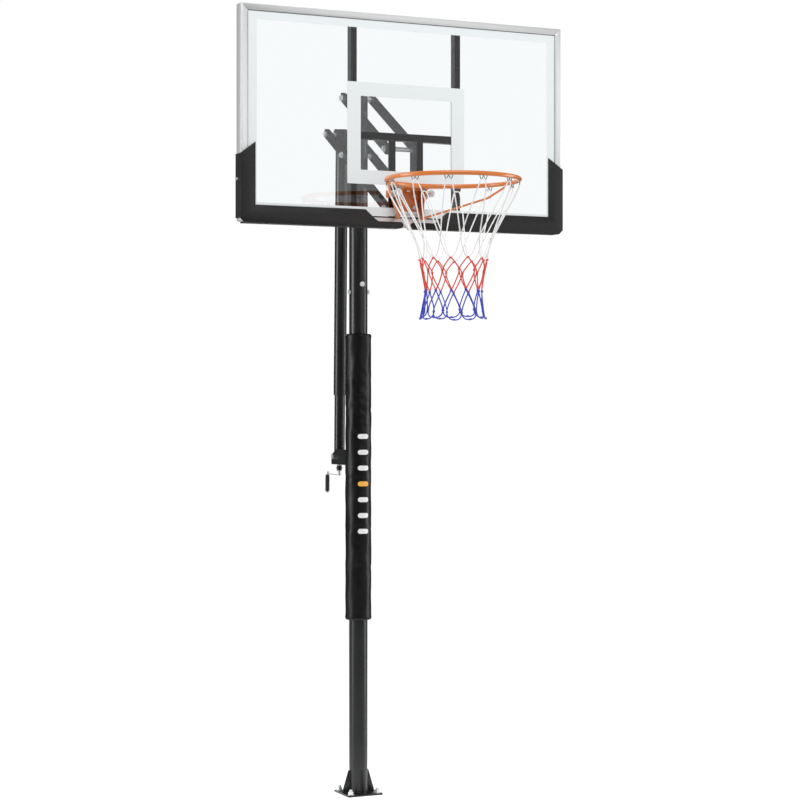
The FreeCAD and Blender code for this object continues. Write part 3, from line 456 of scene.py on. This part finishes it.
def add_room():
    """White where it is seen, dim where it is only reflected, so black finishes stay black."""
    world = bpy.data.worlds.new("studio")
    world.use_nodes = True
    sky = world.node_tree.nodes["Background"]
    sky.inputs["Color"].default_value = (1, 1, 1, 1)
    seen = add(world.node_tree, "ShaderNodeLightPath")
    straight = arithmetic(world.node_tree, "MAXIMUM", seen.outputs["Is Camera Ray"],
                          seen.outputs["Is Transmission Ray"])
    mirrored = arithmetic(world.node_tree, "MULTIPLY_ADD", seen.outputs["Is Glossy Ray"],
                          ROOM_MIRRORED - ROOM_SOFT, ROOM_SOFT)
    direct = arithmetic(world.node_tree, "MULTIPLY", straight, ROOM_SEEN)
    strength = arithmetic(world.node_tree, "MAXIMUM", direct, mirrored)
    world.node_tree.links.new(strength, sky.inputs["Strength"])
    bpy.context.scene.world = world
    bpy.context.scene.view_settings.view_transform = "Standard"


def add_lights():
    for name, (place, aim, size, power) in LIGHTS.items():
        data = bpy.data.lights.new(name, "AREA")
        data.shape = "RECTANGLE"
        data.size, data.size_y = size
        data.energy = power
        light = bpy.data.objects.new(name, data)
        light.location = place
        light.visible_camera = False
        light.visible_transmission = False
        light.rotation_euler = (Vector(aim) - Vector(place)).to_track_quat("-Z", "Y").to_euler()
        bpy.context.scene.collection.objects.link(light)


def add_floor():
    """A pale disc that fades out into the room."""
    deselect()
    bpy.ops.mesh.primitive_circle_add(vertices=128, radius=FLOOR_RADIUS, fill_type="NGON",
                                      location=(0, 0, 0))
    floor = newest("studio_floor")
    material = bpy.data.materials.new("pale_floor")
    material.use_nodes = True
    tree = material.node_tree
    shader = tree.nodes["Principled BSDF"]
    shader.inputs["Base Color"].default_value = (0.93, 0.93, 0.93, 1)
    shader.inputs["Roughness"].default_value = 0.75
    shader.inputs["Specular IOR Level"].default_value = 0.1
    shader.inputs["Emission Color"].default_value = (1, 1, 1, 1)
    shader.inputs["Emission Strength"].default_value = 0.42
    place = add(tree, "ShaderNodeTexCoord")
    reach = add(tree, "ShaderNodeVectorMath", operation="LENGTH")
    tree.links.new(place.outputs["Object"], reach.inputs[0])
    alpha = 1.0
    for near, far, least in FLOOR_FADES:
        fade = add(tree, "ShaderNodeMapRange", interpolation_type="SMOOTHSTEP")
        fade.inputs["From Min"].default_value = near
        fade.inputs["From Max"].default_value = far
        fade.inputs["To Min"].default_value = 1.0
        fade.inputs["To Max"].default_value = least
        tree.links.new(reach.outputs["Value"], fade.inputs["Value"])
        alpha = arithmetic(tree, "MULTIPLY", alpha, fade.outputs["Result"])
    tree.links.new(alpha, shader.inputs["Alpha"])
    floor.data.materials.append(material)


def studio():
    add_camera()
    add_room()
    add_lights()
    add_floor()


# ---------------------------------------------------------------- backboard

INK_THICK, SEAL_THICK = 0.0003, 0.0012
BORDER_HALF, BORDER_WIDE = 0.629, 0.034
BORDER_FOOT, BORDER_GAP, BORDER_TALL, BORDER_DEEP = 0.006, 0.001, 0.031, 0.030
SQUARE_OUTER, SQUARE_INNER = (-0.240, 2.333, 0.240, 2.708), (-0.186, 2.385, 0.186, 2.657)
# The black seal round the glass: its sides and top are a thin seal, and its wider bottom band is painted
# shade for the dark gap just above the bottom rail.
SEAL_HALF, SEAL_WIDE, SEAL_TUCK, SEAL_LOW_PAINTED_SHADE, SEAL_HIGH = 0.6305, 0.0016, 0.0005, 0.0045, 0.0013
# How far the sheets' backs stand in front of the glass.
INK_PROUD, SEAL_PROUD = 0.0002, 0.0006


def hollow_sheet(name, outer, inner, front, thick):
    """A thin printed frame: outer and inner are (low x, low z, high x, high z)."""
    wide, tall = outer[2] - outer[0], outer[3] - outer[1]
    centre = ((outer[0] + outer[2]) / 2, front - thick / 2, (outer[1] + outer[3]) / 2)
    deselect()
    bpy.ops.mesh.primitive_plane_add(size=1, location=centre, rotation=(math.pi / 2, 0, 0))
    bpy.context.object.scale = (wide, tall, 1)
    piece = newest(name)
    across, up = Vector((1, 0, 0)), Vector((0, 0, 1))
    bpy.ops.object.mode_set(mode="EDIT")
    for normal, level in ((across, inner[0]), (across, inner[2]), (up, inner[1]), (up, inner[3])):
        bpy.ops.mesh.select_all(action="SELECT")
        bpy.ops.mesh.bisect(plane_co=normal * level, plane_no=normal)
    bpy.ops.mesh.select_all(action="DESELECT")
    bpy.ops.object.mode_set(mode="OBJECT")
    for face in piece.data.polygons:
        c = face.center
        face.select = inner[0] < c.x < inner[2] and inner[1] < c.z < inner[3]
    bpy.ops.object.mode_set(mode="EDIT")
    bpy.ops.mesh.select_mode(type="FACE")
    bpy.ops.mesh.delete(type="FACE")
    bpy.ops.object.mode_set(mode="OBJECT")
    modify(piece, "SOLIDIFY", thickness=thick, offset=0)
    return outward(piece)


def backboard():
    sill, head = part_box("frame_bottom")[1].z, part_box("frame_top")[0].z
    ink_face = GLASS_FRONT - INK_PROUD
    side = BORDER_HALF - BORDER_WIDE
    border = hollow_sheet("board_border", (-BORDER_HALF, sill + BORDER_FOOT, BORDER_HALF, head - BORDER_GAP),
                          (-side, sill + BORDER_FOOT + BORDER_TALL, side, head - BORDER_GAP - BORDER_DEEP),
                          ink_face, INK_THICK)
    dress(border, PAINT, "board", "clear_panel")
    square = hollow_sheet("target_square", SQUARE_OUTER, SQUARE_INNER, ink_face, INK_THICK)
    dress(square, PAINT, "board", "clear_panel")
    # The thin black seal round the glass, widened at the bottom into a painted shade for the gap over the
    # rail.
    side = SEAL_HALF - SEAL_WIDE
    seal_and_shade = hollow_sheet("panel_seal_and_painted_shade", (-SEAL_HALF, sill - SEAL_TUCK, SEAL_HALF, head + SEAL_TUCK),
                        (-side, sill + SEAL_LOW_PAINTED_SHADE, side, head - SEAL_HIGH),
                        GLASS_FRONT - SEAL_PROUD, SEAL_THICK)
    dress(seal_and_shade, PLASTIC, "board", "black_plastic")

    # The side rails take the lighter upright finish, a painted highlight.
    for name, finish in (("frame_top", RAIL_ALONG), ("frame_bottom", RAIL_ALONG), ("frame_left", RAIL_UP_PAINTED_LIGHTER),
                         ("frame_right", RAIL_UP_PAINTED_LIGHTER)):
        eased(name, 0.0012, finish, "aluminium")
    for hand in ("left", "right"):
        eased(f"corner_pad_{hand}", 0.0022, PLASTIC, "black_plastic", angle=12, segments=3)
        eased(f"rear_upright_{hand}", 0.0022, STEEL, "black_steel")
        eased(f"arm_bracket_{hand}", 0.0008, STEEL, "black_steel")
    eased("rear_cross_bar", 0.0022, STEEL, "black_steel")

    welds = []
    for side in (-1, 1):
        for level in (2.4985, 2.5275):
            welds.append([Vector((side * 0.1995, y / 1000, level)) for y in range(-437, -409, 2)])
    bead = tube("cross_bar_welds", welds, 0.0018, radii=rippled(1.0, 0.25))
    dress(bead, STEEL, "board", "black_steel")


# ---------------------------------------------------------------- lifting arms and jack

JACK_LEAN = (0, -0.018742, 0.999824)
GRIP_RIBS = 9


def arm_plugs():
    """Plastic plugs pressed into the open ends of the four arm tubes."""
    cap_thick, cap_gap, stem_long, stem_gap = 0.0025, 0.0004, 0.0125, 0.0006
    cap_size = (ARM_WIDTH - cap_gap, cap_thick, ARM_DEPTH - cap_gap)
    stem_size = (ARM_WIDTH - 2 * ARM_WALL - stem_gap, stem_long, ARM_DEPTH - 2 * ARM_WALL - stem_gap)
    for pair, arm in ARMS.items():
        ends = []
        for side in (-1, 1):
            for place, facing in ((-ARM_RUN - ARM_OVER, -1), (arm["tail"] + ARM_OVER, 1)):
                cap = block("plug_cap", (side * ARM_OFF_CENTRE, place + facing * cap_thick / 2, 0), cap_size,
                            bevel=0.001, segments=3)
                stem = block("plug_stem", (side * ARM_OFF_CENTRE, place - facing * 0.006, 0), stem_size,
                             bevel=0.0006)
                ends += [cap, stem]
        plugs = join(f"{pair}_arm_plugs", ends)
        move(plugs, Matrix.Translation((0, 0, arm["pivot"])) @ Matrix.Rotation(ARM_TILT, 4, "X"))
        smooth(plugs, 30)
        dress(plugs, PLASTIC, f"{pair}_arms", "black_plastic")
        for hand in ("left", "right"):
            eased(f"{pair}_arm_{hand}", 0.0024, STEEL, "black_steel", segments=3)


def crank_grip():
    """A ribbed grip, spun from its profile and set on the crank's leaning spindle."""
    low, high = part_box("crank_grip")
    lean = Vector(JACK_LEAN)
    centre = (low + high) / 2
    height = (high - low).z / lean.z * 0.985
    bore, foot, rib, groove, tip = 0.0042, 0.0078, 0.0086, 0.0079, 0.0074
    profile = [(bore, 0.0), (foot, 0.0)]
    for i in range(GRIP_RIBS):
        base = 0.004 + i * (height - 0.010) / GRIP_RIBS
        profile += [(rib, base), (rib, base + 0.0042), (groove, base + 0.0055)]
    profile += [(tip, height), (bore, height)]
    mesh = bpy.data.meshes.new("grip_ribbed")
    rounds = [(i, (i + 1) % len(profile)) for i in range(len(profile))]
    mesh.from_pydata([(radius, 0, level) for radius, level in profile], rounds, [])
    grip = bpy.data.objects.new("grip_ribbed", mesh)
    bpy.context.scene.collection.objects.link(grip)
    activate(grip)
    bpy.ops.object.mode_set(mode="EDIT")
    bpy.ops.mesh.select_all(action="SELECT")
    bpy.ops.mesh.spin(steps=40, angle=math.tau, center=(0, 0, 0), axis=(0, 0, 1))
    bpy.ops.object.mode_set(mode="OBJECT")
    outward(grip)
    turn = lean.to_track_quat("Z", "Y").to_matrix().to_4x4()
    move(grip, Matrix.Translation(centre) @ turn @ Matrix.Translation((0, 0, -height / 2)))
    smooth(grip, 50)
    dress(grip, PLASTIC, "grip", "black_plastic", "crank_grip")


def foot_details():
    """Weld beads at the pole's foot, its gussets and the jack's bracket, and the anchor studs' threads."""
    for name, width in (("anchor_plate", 0.0012), ("anchor_gussets", 0.0008), ("jack_bracket", 0.0008)):
        eased(name, width, STEEL, "black_steel")
    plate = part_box("anchor_plate")[1].z
    round_pole, gusset_side, bracket_side, step = 0.0372, 0.0034, 0.0285, 0.0022
    beads = [[Vector((round_pole * math.cos(a), round_pole * math.sin(a), plate + 0.0012))
              for a in (math.tau * i / 96 for i in range(97))]]
    for quarter in range(4):
        turn = Matrix.Rotation(quarter * math.pi / 2, 3, "Z")
        for side in (-gusset_side, gusset_side):
            beads.append([turn @ Vector((0.0368, side, plate + 0.002 + i * step)) for i in range(38)])
            beads.append([turn @ Vector((0.037 + i * step, side, plate + 0.0008)) for i in range(13)])
    for side in (-bracket_side, bracket_side):
        beads.append([Vector((side, 0.0232, 1.283 + i * step)) for i in range(27)])
    weld = tube("weld_beads", beads, 0.0022, radii=rippled(0.9, 0.3))
    dress(weld, STEEL, "pole", "black_steel")

    stud_out, stud_round, stud_low, pitch, facets, rounds = 0.056, 0.0058, 0.0196, 0.00125, 16, 5
    angles = [math.tau * i / facets for i in range(facets * rounds + 1)]
    turns = []
    for x in (-stud_out, stud_out):
        for y in (-stud_out, stud_out):
            turns.append([Vector((x + stud_round * math.cos(a), y + stud_round * math.sin(a),
                                  stud_low + a / math.tau * pitch)) for a in angles])
    threads = tube("stud_threads", turns, 0.00045, sides=0)
    dress(threads, ZINC, "pole", "zinc_steel")


# ---------------------------------------------------------------- pole pad

PAD_RADIUS, PAD_WALL, PAD_SEGMENTS, PAD_ROWS = 0.0505, 0.0130, 84, 118
PAD_OUTSIDE = PAD_RADIUS - 0.003
SWELL_FRAMES, SWELL_CAP = 20, 0.0026
STITCHES, STITCH_RADIUS, STITCH_INSET = 44, 0.0517, 0.0115
# The notch for the jack's bracket, the bands that the swelling leaves alone, and the binding and the flap.
NOTCH_HALF, NOTCH_HELD, HEM_HELD, CREASE_HELD = 0.0295, 0.034, 0.013, 0.0052
BINDING_LOW, BINDING_HIGH, BINDING_STEP, GATHER_END = 0.003, 0.013, 0.016, 0.021
FLAP_HALF = 0.31
# The heights of the creases that run round the pad.
CREASES = (1.627, 1.498, 1.236, 1.037, 0.884)
# Short folds over the front of the pad: bearing in degrees, height, depth.
FOLDS = ((-92, 1.640, 0.0030), (-124, 1.606, 0.0022), (-80, 1.585, 0.0020), (-104, 1.546, 0.0034),
         (-134, 1.520, 0.0022), (-86, 1.498, 0.0032), (-112, 1.470, 0.0028), (-76, 1.430, 0.0020),
         (-128, 1.405, 0.0024), (-96, 1.362, 0.0018), (-60, 1.310, 0.0022), (-118, 0.975, 0.0016),
         (-70, 0.930, 0.0020), (-100, 0.842, 0.0016), (60, 1.450, 0.0024), (110, 1.060, 0.0022))


def swell(piece, held, cap):
    """Inflate a padded piece between the points that are held, by no more than cap."""
    rest = [v.co.copy() for v in piece.data.vertices]
    group = piece.vertex_groups.new(name="held")
    group.add([v.index for v in piece.data.vertices if held(v.co)], 1.0, "REPLACE")
    cloth = piece.modifiers.new("cloth", "CLOTH")
    settings = cloth.settings
    settings.quality = 4
    settings.mass = 0.4
    settings.tension_stiffness = settings.compression_stiffness = 20
    settings.bending_stiffness = 4
    settings.use_pressure = True
    settings.uniform_pressure_force = 4
    settings.effector_weights.gravity = 0
    settings.vertex_group_mass = "held"
    scene = bpy.context.scene
    for step in range(1, SWELL_FRAMES + 1):
        scene.frame_set(step)
    solved = piece.evaluated_get(bpy.context.evaluated_depsgraph_get()).to_mesh()
    moved = [v.co.copy() for v in solved.vertices]
    piece.evaluated_get(bpy.context.evaluated_depsgraph_get()).to_mesh_clear()
    piece.modifiers.remove(cloth)
    piece.vertex_groups.remove(group)
    scene.frame_set(1)
    for vertex, before, after in zip(piece.data.vertices, rest, moved):
        shift = after - before
        if shift.length > cap:
            shift *= cap / shift.length
        vertex.co = before + shift
    piece.data.update()


def pole_pad():
    """The vinyl sleeve over its foam: swollen between its creases, folded, bound at the ends and stitched."""
    low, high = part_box("pole_pad")
    length = high.z - low.z - 0.002
    deselect()
    bpy.ops.mesh.primitive_cylinder_add(vertices=PAD_SEGMENTS, radius=PAD_RADIUS, depth=length,
                                        end_fill_type="NOTHING", location=(0, 0, (low.z + high.z) / 2))
    pad = newest("pole_pad_vinyl")
    bpy.ops.object.mode_set(mode="EDIT")
    bpy.ops.mesh.select_all(action="DESELECT")
    bpy.ops.object.mode_set(mode="OBJECT")
    for edge in pad.data.edges:
        a, b = (pad.data.vertices[i].co for i in edge.vertices)
        edge.select = abs(a.z - b.z) > length / 2
    bpy.ops.object.mode_set(mode="EDIT")
    bpy.ops.mesh.select_mode(type="EDGE")
    bpy.ops.mesh.subdivide(number_cuts=PAD_ROWS)
    bpy.ops.mesh.select_all(action="DESELECT")
    bpy.ops.object.mode_set(mode="OBJECT")
    bracket_low, bracket_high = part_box("jack_bracket")
    notch_low, notch_high = bracket_low.z - 0.003, bracket_high.z + 0.004
    for face in pad.data.polygons:
        c = face.center
        face.select = c.y > 0 and abs(c.x) < NOTCH_HALF and notch_low < c.z < notch_high
    bpy.ops.object.mode_set(mode="EDIT")
    bpy.ops.mesh.select_mode(type="FACE")
    bpy.ops.mesh.delete(type="FACE")
    bpy.ops.object.mode_set(mode="OBJECT")
    modify(pad, "SOLIDIFY", thickness=PAD_WALL, offset=-1)
    outward(pad)

    def held(point):
        reach = math.hypot(point.x, point.y)
        near_end = min(point.z - low.z, high.z - point.z) < HEM_HELD
        beside = point.y > 0 and abs(point.x) < NOTCH_HELD
        at_notch = beside and notch_low - 0.01 < point.z < notch_high + 0.01
        at_crease = any(abs(point.z - level) < CREASE_HELD for level in CREASES)
        return reach < PAD_OUTSIDE or near_end or at_notch or at_crease

    swell(pad, held, SWELL_CAP)

    for vertex in pad.data.vertices:
        point = vertex.co
        reach = math.hypot(point.x, point.y)
        if reach < PAD_OUTSIDE:
            continue
        angle = math.atan2(point.y, point.x)
        shift = 0.0009 * math.sin(3 * angle + 19 * point.z) * math.sin(31 * point.z)
        shift += 0.0006 * math.sin(5 * angle - 47 * point.z) * math.sin(2 * angle + 13 * point.z)
        for i, level in enumerate(CREASES):
            wander = level + 0.006 * math.sin(2 * angle + 1.7 * i) + 0.003 * math.sin(5 * angle + i)
            depth = 0.0030 * (0.55 + 0.45 * math.sin(angle * (1 + i % 2) + 2.1 * i))
            shift -= depth * math.exp(-((point.z - wander) / 0.0055) ** 2)
            shift += 0.0007 * math.exp(-((point.z - wander - 0.014) / 0.008) ** 2)
        for bearing, level, depth in FOLDS:
            turn = (angle - math.radians(bearing) + math.pi) % math.tau - math.pi
            rise = point.z - level + 0.018 * turn
            shift -= depth * math.exp(-(turn / 0.34) ** 2 - (rise / 0.0075) ** 2)
            shift += 0.45 * depth * math.exp(-(turn / 0.30) ** 2 - ((rise - 0.017) / 0.009) ** 2)
        from_end = min(point.z - low.z, high.z - point.z)
        if from_end < BINDING_STEP:
            shift = 0.0012 if BINDING_LOW < from_end < BINDING_HIGH else 0.0004
        elif from_end < GATHER_END:
            shift -= 0.0012
        flap = abs(angle - math.pi / 2)
        if flap < FLAP_HALF and from_end > 0.004:
            shift += 0.0009
        vertex.co.x *= (reach + shift) / reach
        vertex.co.y *= (reach + shift) / reach
    modify(pad, "SUBSURF", levels=1, render_levels=1)
    smooth(pad, 60)
    dress(pad, VINYL, "pole", "pad_vinyl", "pole_pad")

    rows = []
    for level in (low.z + STITCH_INSET, high.z - STITCH_INSET):
        for i in range(STITCHES):
            first, last = math.tau * i / STITCHES, math.tau * (i + 0.55) / STITCHES
            rows.append([Vector((STITCH_RADIUS * math.cos(a), STITCH_RADIUS * math.sin(a), level))
                         for a in (first, (first + last) / 2, last)])
    stitches = tube("pad_stitches", rows, 0.0006)
    dress(stitches, VINYL, "pole", "pad_vinyl")


# ---------------------------------------------------------------- rim

SPRING_OUT, SPRING_HEIGHT, SPRING_RADIUS, SPRING_WIRE = 0.066, 2.300, 0.0102, 0.0019
SPRING_BACK, SPRING_FRONT, SPRING_SEAT = -0.4557, -0.5173, -0.5195
SPRING_TURNS, SPRING_STEPS, SPRING_FLAT = 7, 20, 0.09
RING_WELD_RADIUS = 0.2452


def rim_details():
    """The flexing rim's bracket and plate, its two coil springs and its weld beads."""
    eased("rim_bracket", 0.0009, ORANGE, "orange_steel")
    eased("rim_mount_plate", 0.0007, ORANGE, "orange_steel")
    count = SPRING_TURNS * SPRING_STEPS
    for hand, side, stands_for in (("left", -1, ["rim_springs"]), ("right", 1, [])):
        points = []
        for k in range(count + 1):
            share = k / count
            wound = min(max((share - SPRING_FLAT) / (1 - 2 * SPRING_FLAT), 0), 1)
            a = math.tau * SPRING_TURNS * share
            points.append(Vector((side * SPRING_OUT + SPRING_RADIUS * math.cos(a),
                                  SPRING_BACK + (SPRING_FRONT - SPRING_BACK) * wound,
                                  SPRING_HEIGHT + SPRING_RADIUS * math.sin(a))))
        coil = tube(f"rim_spring_{hand}", [points], SPRING_WIRE, sides=2)
        dress(coil, SPRING, "board", "zinc_steel", *stands_for)
        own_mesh(coil)

    beads = []
    for side in (-1, 1):
        arc = []
        for k in range(25):
            a = math.pi / 2 + side * (0.06 + 0.34 * k / 24)
            arc.append(RING_CENTRE + Vector((RING_WELD_RADIUS * math.cos(a), RING_WELD_RADIUS * math.sin(a),
                                             0.0022)))
        beads.append(arc)
        beads.append([Vector((side * 0.0505, y / 1000, 2.3136)) for y in range(-456, -516, -3)])
    bead = tube("rim_weld_beads", beads, 0.0020, radii=rippled(0.85, 0.35))
    dress(bead, ORANGE, "rim", "orange_steel")


# ---------------------------------------------------------------- net

# The net repeats this many times round the ring, once for each hook.
LOOPS = 12
PLY_RADIUS, PLY_WINDING, TWIST_PITCH = 0.00128, 0.00125, 0.013
KNOT_WIRE, KNOT_STEPS = 0.0016, 30
HANG_FROM = 2.30


def net_hook():
    """One bent wire clip under the ring, at angle zero."""
    top, bottom = -0.0085, -0.0205
    shape = [(-0.0145, top), (-0.0125, top - 0.006), (-0.0098, bottom), (-0.0060, bottom),
             (-0.0035, top - 0.005), (0.0, top + 0.0002), (0.0035, top - 0.005), (0.0060, bottom),
             (0.0098, bottom), (0.0125, top - 0.006), (0.0145, top)]
    line = nurbs_points([Vector((RING_RADIUS, t, z)) for t, z in shape], 6)
    return tube("hook", [line], 0.0016, sides=2)


def around_ring(piece, turn):
    """A copy of one piece of the net, turned to its place under the ring."""
    copy = bpy.data.objects.new(piece.name, piece.data.copy())
    bpy.context.scene.collection.objects.link(copy)
    return move(copy, Matrix.Translation(RING_CENTRE) @ Matrix.Rotation(turn, 4, "Z"))


def polar(angle, radius, height):
    """A point about the ring's axis, with its height measured from the floor."""
    a = math.radians(angle)
    return Vector((radius * math.cos(a), radius * math.sin(a), height - RING_CENTRE.z))


def both_sides(points):
    """A cord that comes up one side and goes down the other, passing over then under its neighbours."""
    right = [polar(a, r + lift, z) for a, r, z, lift in points]
    left = [polar(-a, r - lift, z) for a, r, z, lift in points]
    return left[::-1] + right


# Half of each cord's loop, from its middle: bearing in degrees, radius, height, lift past its neighbour.
WHITE_RUN = [(0.0, RING_RADIUS, 2.2995, 0), (1.9, RING_RADIUS, 2.3000, 0), (3.0, 0.2330, 2.2880, 0),
             (5.0, 0.2160, 2.2500, 0), (8.5, 0.1830, 2.1900, 0), (12.0, 0.1560, 2.1400, 0.0015),
             (14.8, 0.1400, 2.1080, 0.0024), (18.2, 0.1305, 2.0760, 0.0015), (22.6, 0.1240, 2.0500, 0.0008),
             (27.6, 0.1205, 2.0385, 0.0005), (30.0, 0.1200, 2.0370, 0.0)]
RED_RUN = [(0.0, 0.1200, 2.0370, 0), (1.6, 0.1198, 2.0345, 0.0004), (7.5, 0.1185, 2.0200, 0.001),
           (13.2, 0.1155, 2.0030, 0.0018), (15.2, 0.1130, 1.9920, 0.0020), (13.4, 0.1100, 1.9760, 0.0018),
           (7.4, 0.1045, 1.9480, 0.0008), (1.6, 0.1022, 1.9290, 0.0), (0.0, 0.1020, 1.9240, 0.0)]
BLUE_RUN = [(0.0, 0.1020, 1.9240, 0), (1.6, 0.1022, 1.9180, 0), (8.5, 0.1045, 1.8920, 0.001),
            (13.4, 0.1080, 1.8700, 0.0018), (15.3, 0.1105, 1.8530, 0.0020), (13.6, 0.1135, 1.8385, 0.0018),
            (8.6, 0.1158, 1.8295, 0.0008), (3.4, 0.1166, 1.8275, 0.0), (0.0, 0.1167, 1.8275, 0.0)]

# Each band: the CAD node it stands for, its cord's run, and its knots as (bearing, radius, height).
BANDS = {
    "white": ("net_upper", WHITE_RUN, []),
    "red": ("net_middle", RED_RUN, [(0.0, 0.1215, 2.0355), (15.0, 0.1130, 1.9930)]),
    "blue": ("net_lower", BLUE_RUN, [(0.0, 0.1025, 1.9235), (15.0, 0.1100, 1.8530), (0.0, 0.1170, 1.8280)]),
}


def knot(place, turn):
    """A small overhand wrap where cords meet."""
    out = Vector((math.cos(turn), math.sin(turn), 0))
    side = Vector((-out.y, out.x, 0))
    points = []
    for i in range(KNOT_STEPS + 1):
        a = math.tau * i / 10
        points.append(place + out * 0.0033 * math.cos(a) + side * (0.0034 * math.sin(a))
                      + Vector((0, 0, 0.0048 * (i / KNOT_STEPS - 0.5))))
    return points


def all_round(name, piece):
    """One piece's copies at every hook, as one mesh; the piece itself goes."""
    copies = [around_ring(piece, math.tau * i / LOOPS) for i in range(LOOPS)]
    bpy.data.objects.remove(piece)
    return join(name, copies)


def sway(band):
    """Let the net hang a little unevenly, more so further down."""
    for vertex in band.data.vertices:
        point = vertex.co
        hang = max(HANG_FROM - point.z, 0)
        a = math.atan2(point.y - RING_CENTRE.y, point.x)
        vertex.co.x += hang * 0.007 * math.sin(2 * a + 9 * hang) + hang * 0.004 * math.sin(5 * a)
        vertex.co.y += hang * 0.007 * math.cos(3 * a + 7 * hang)
        vertex.co.z += hang * 0.005 * math.sin(4 * a + 1.3)


def net():
    """The wire clips, and the three bands of twisted cord with their knots."""
    clips = all_round("net_clips", net_hook())
    dress(clips, GALVANISED, "rim", "zinc_steel", "net_hooks")
    for colour, (node, run, knots) in BANDS.items():
        plies = twisted(nurbs_points(both_sides(run), 12), PLY_WINDING, TWIST_PITCH)
        unit = tube(f"net_cord_{colour}", plies, PLY_RADIUS)
        if knots:
            wraps = [knot(polar(a, r, z), math.radians(a)) for a, r, z in knots]
            unit = join(f"net_{colour}", [unit, tube(f"net_knots_{colour}", wraps, KNOT_WIRE)])
        band = all_round(f"net_cords_{colour}", unit)
        sway(band)
        dress(band, CORDS[colour], "rim", f"net_{colour}", node)


finish_cad_nodes()
studio()
backboard()
arm_plugs()
crank_grip()
foot_details()
pole_pad()
rim_details()
net()
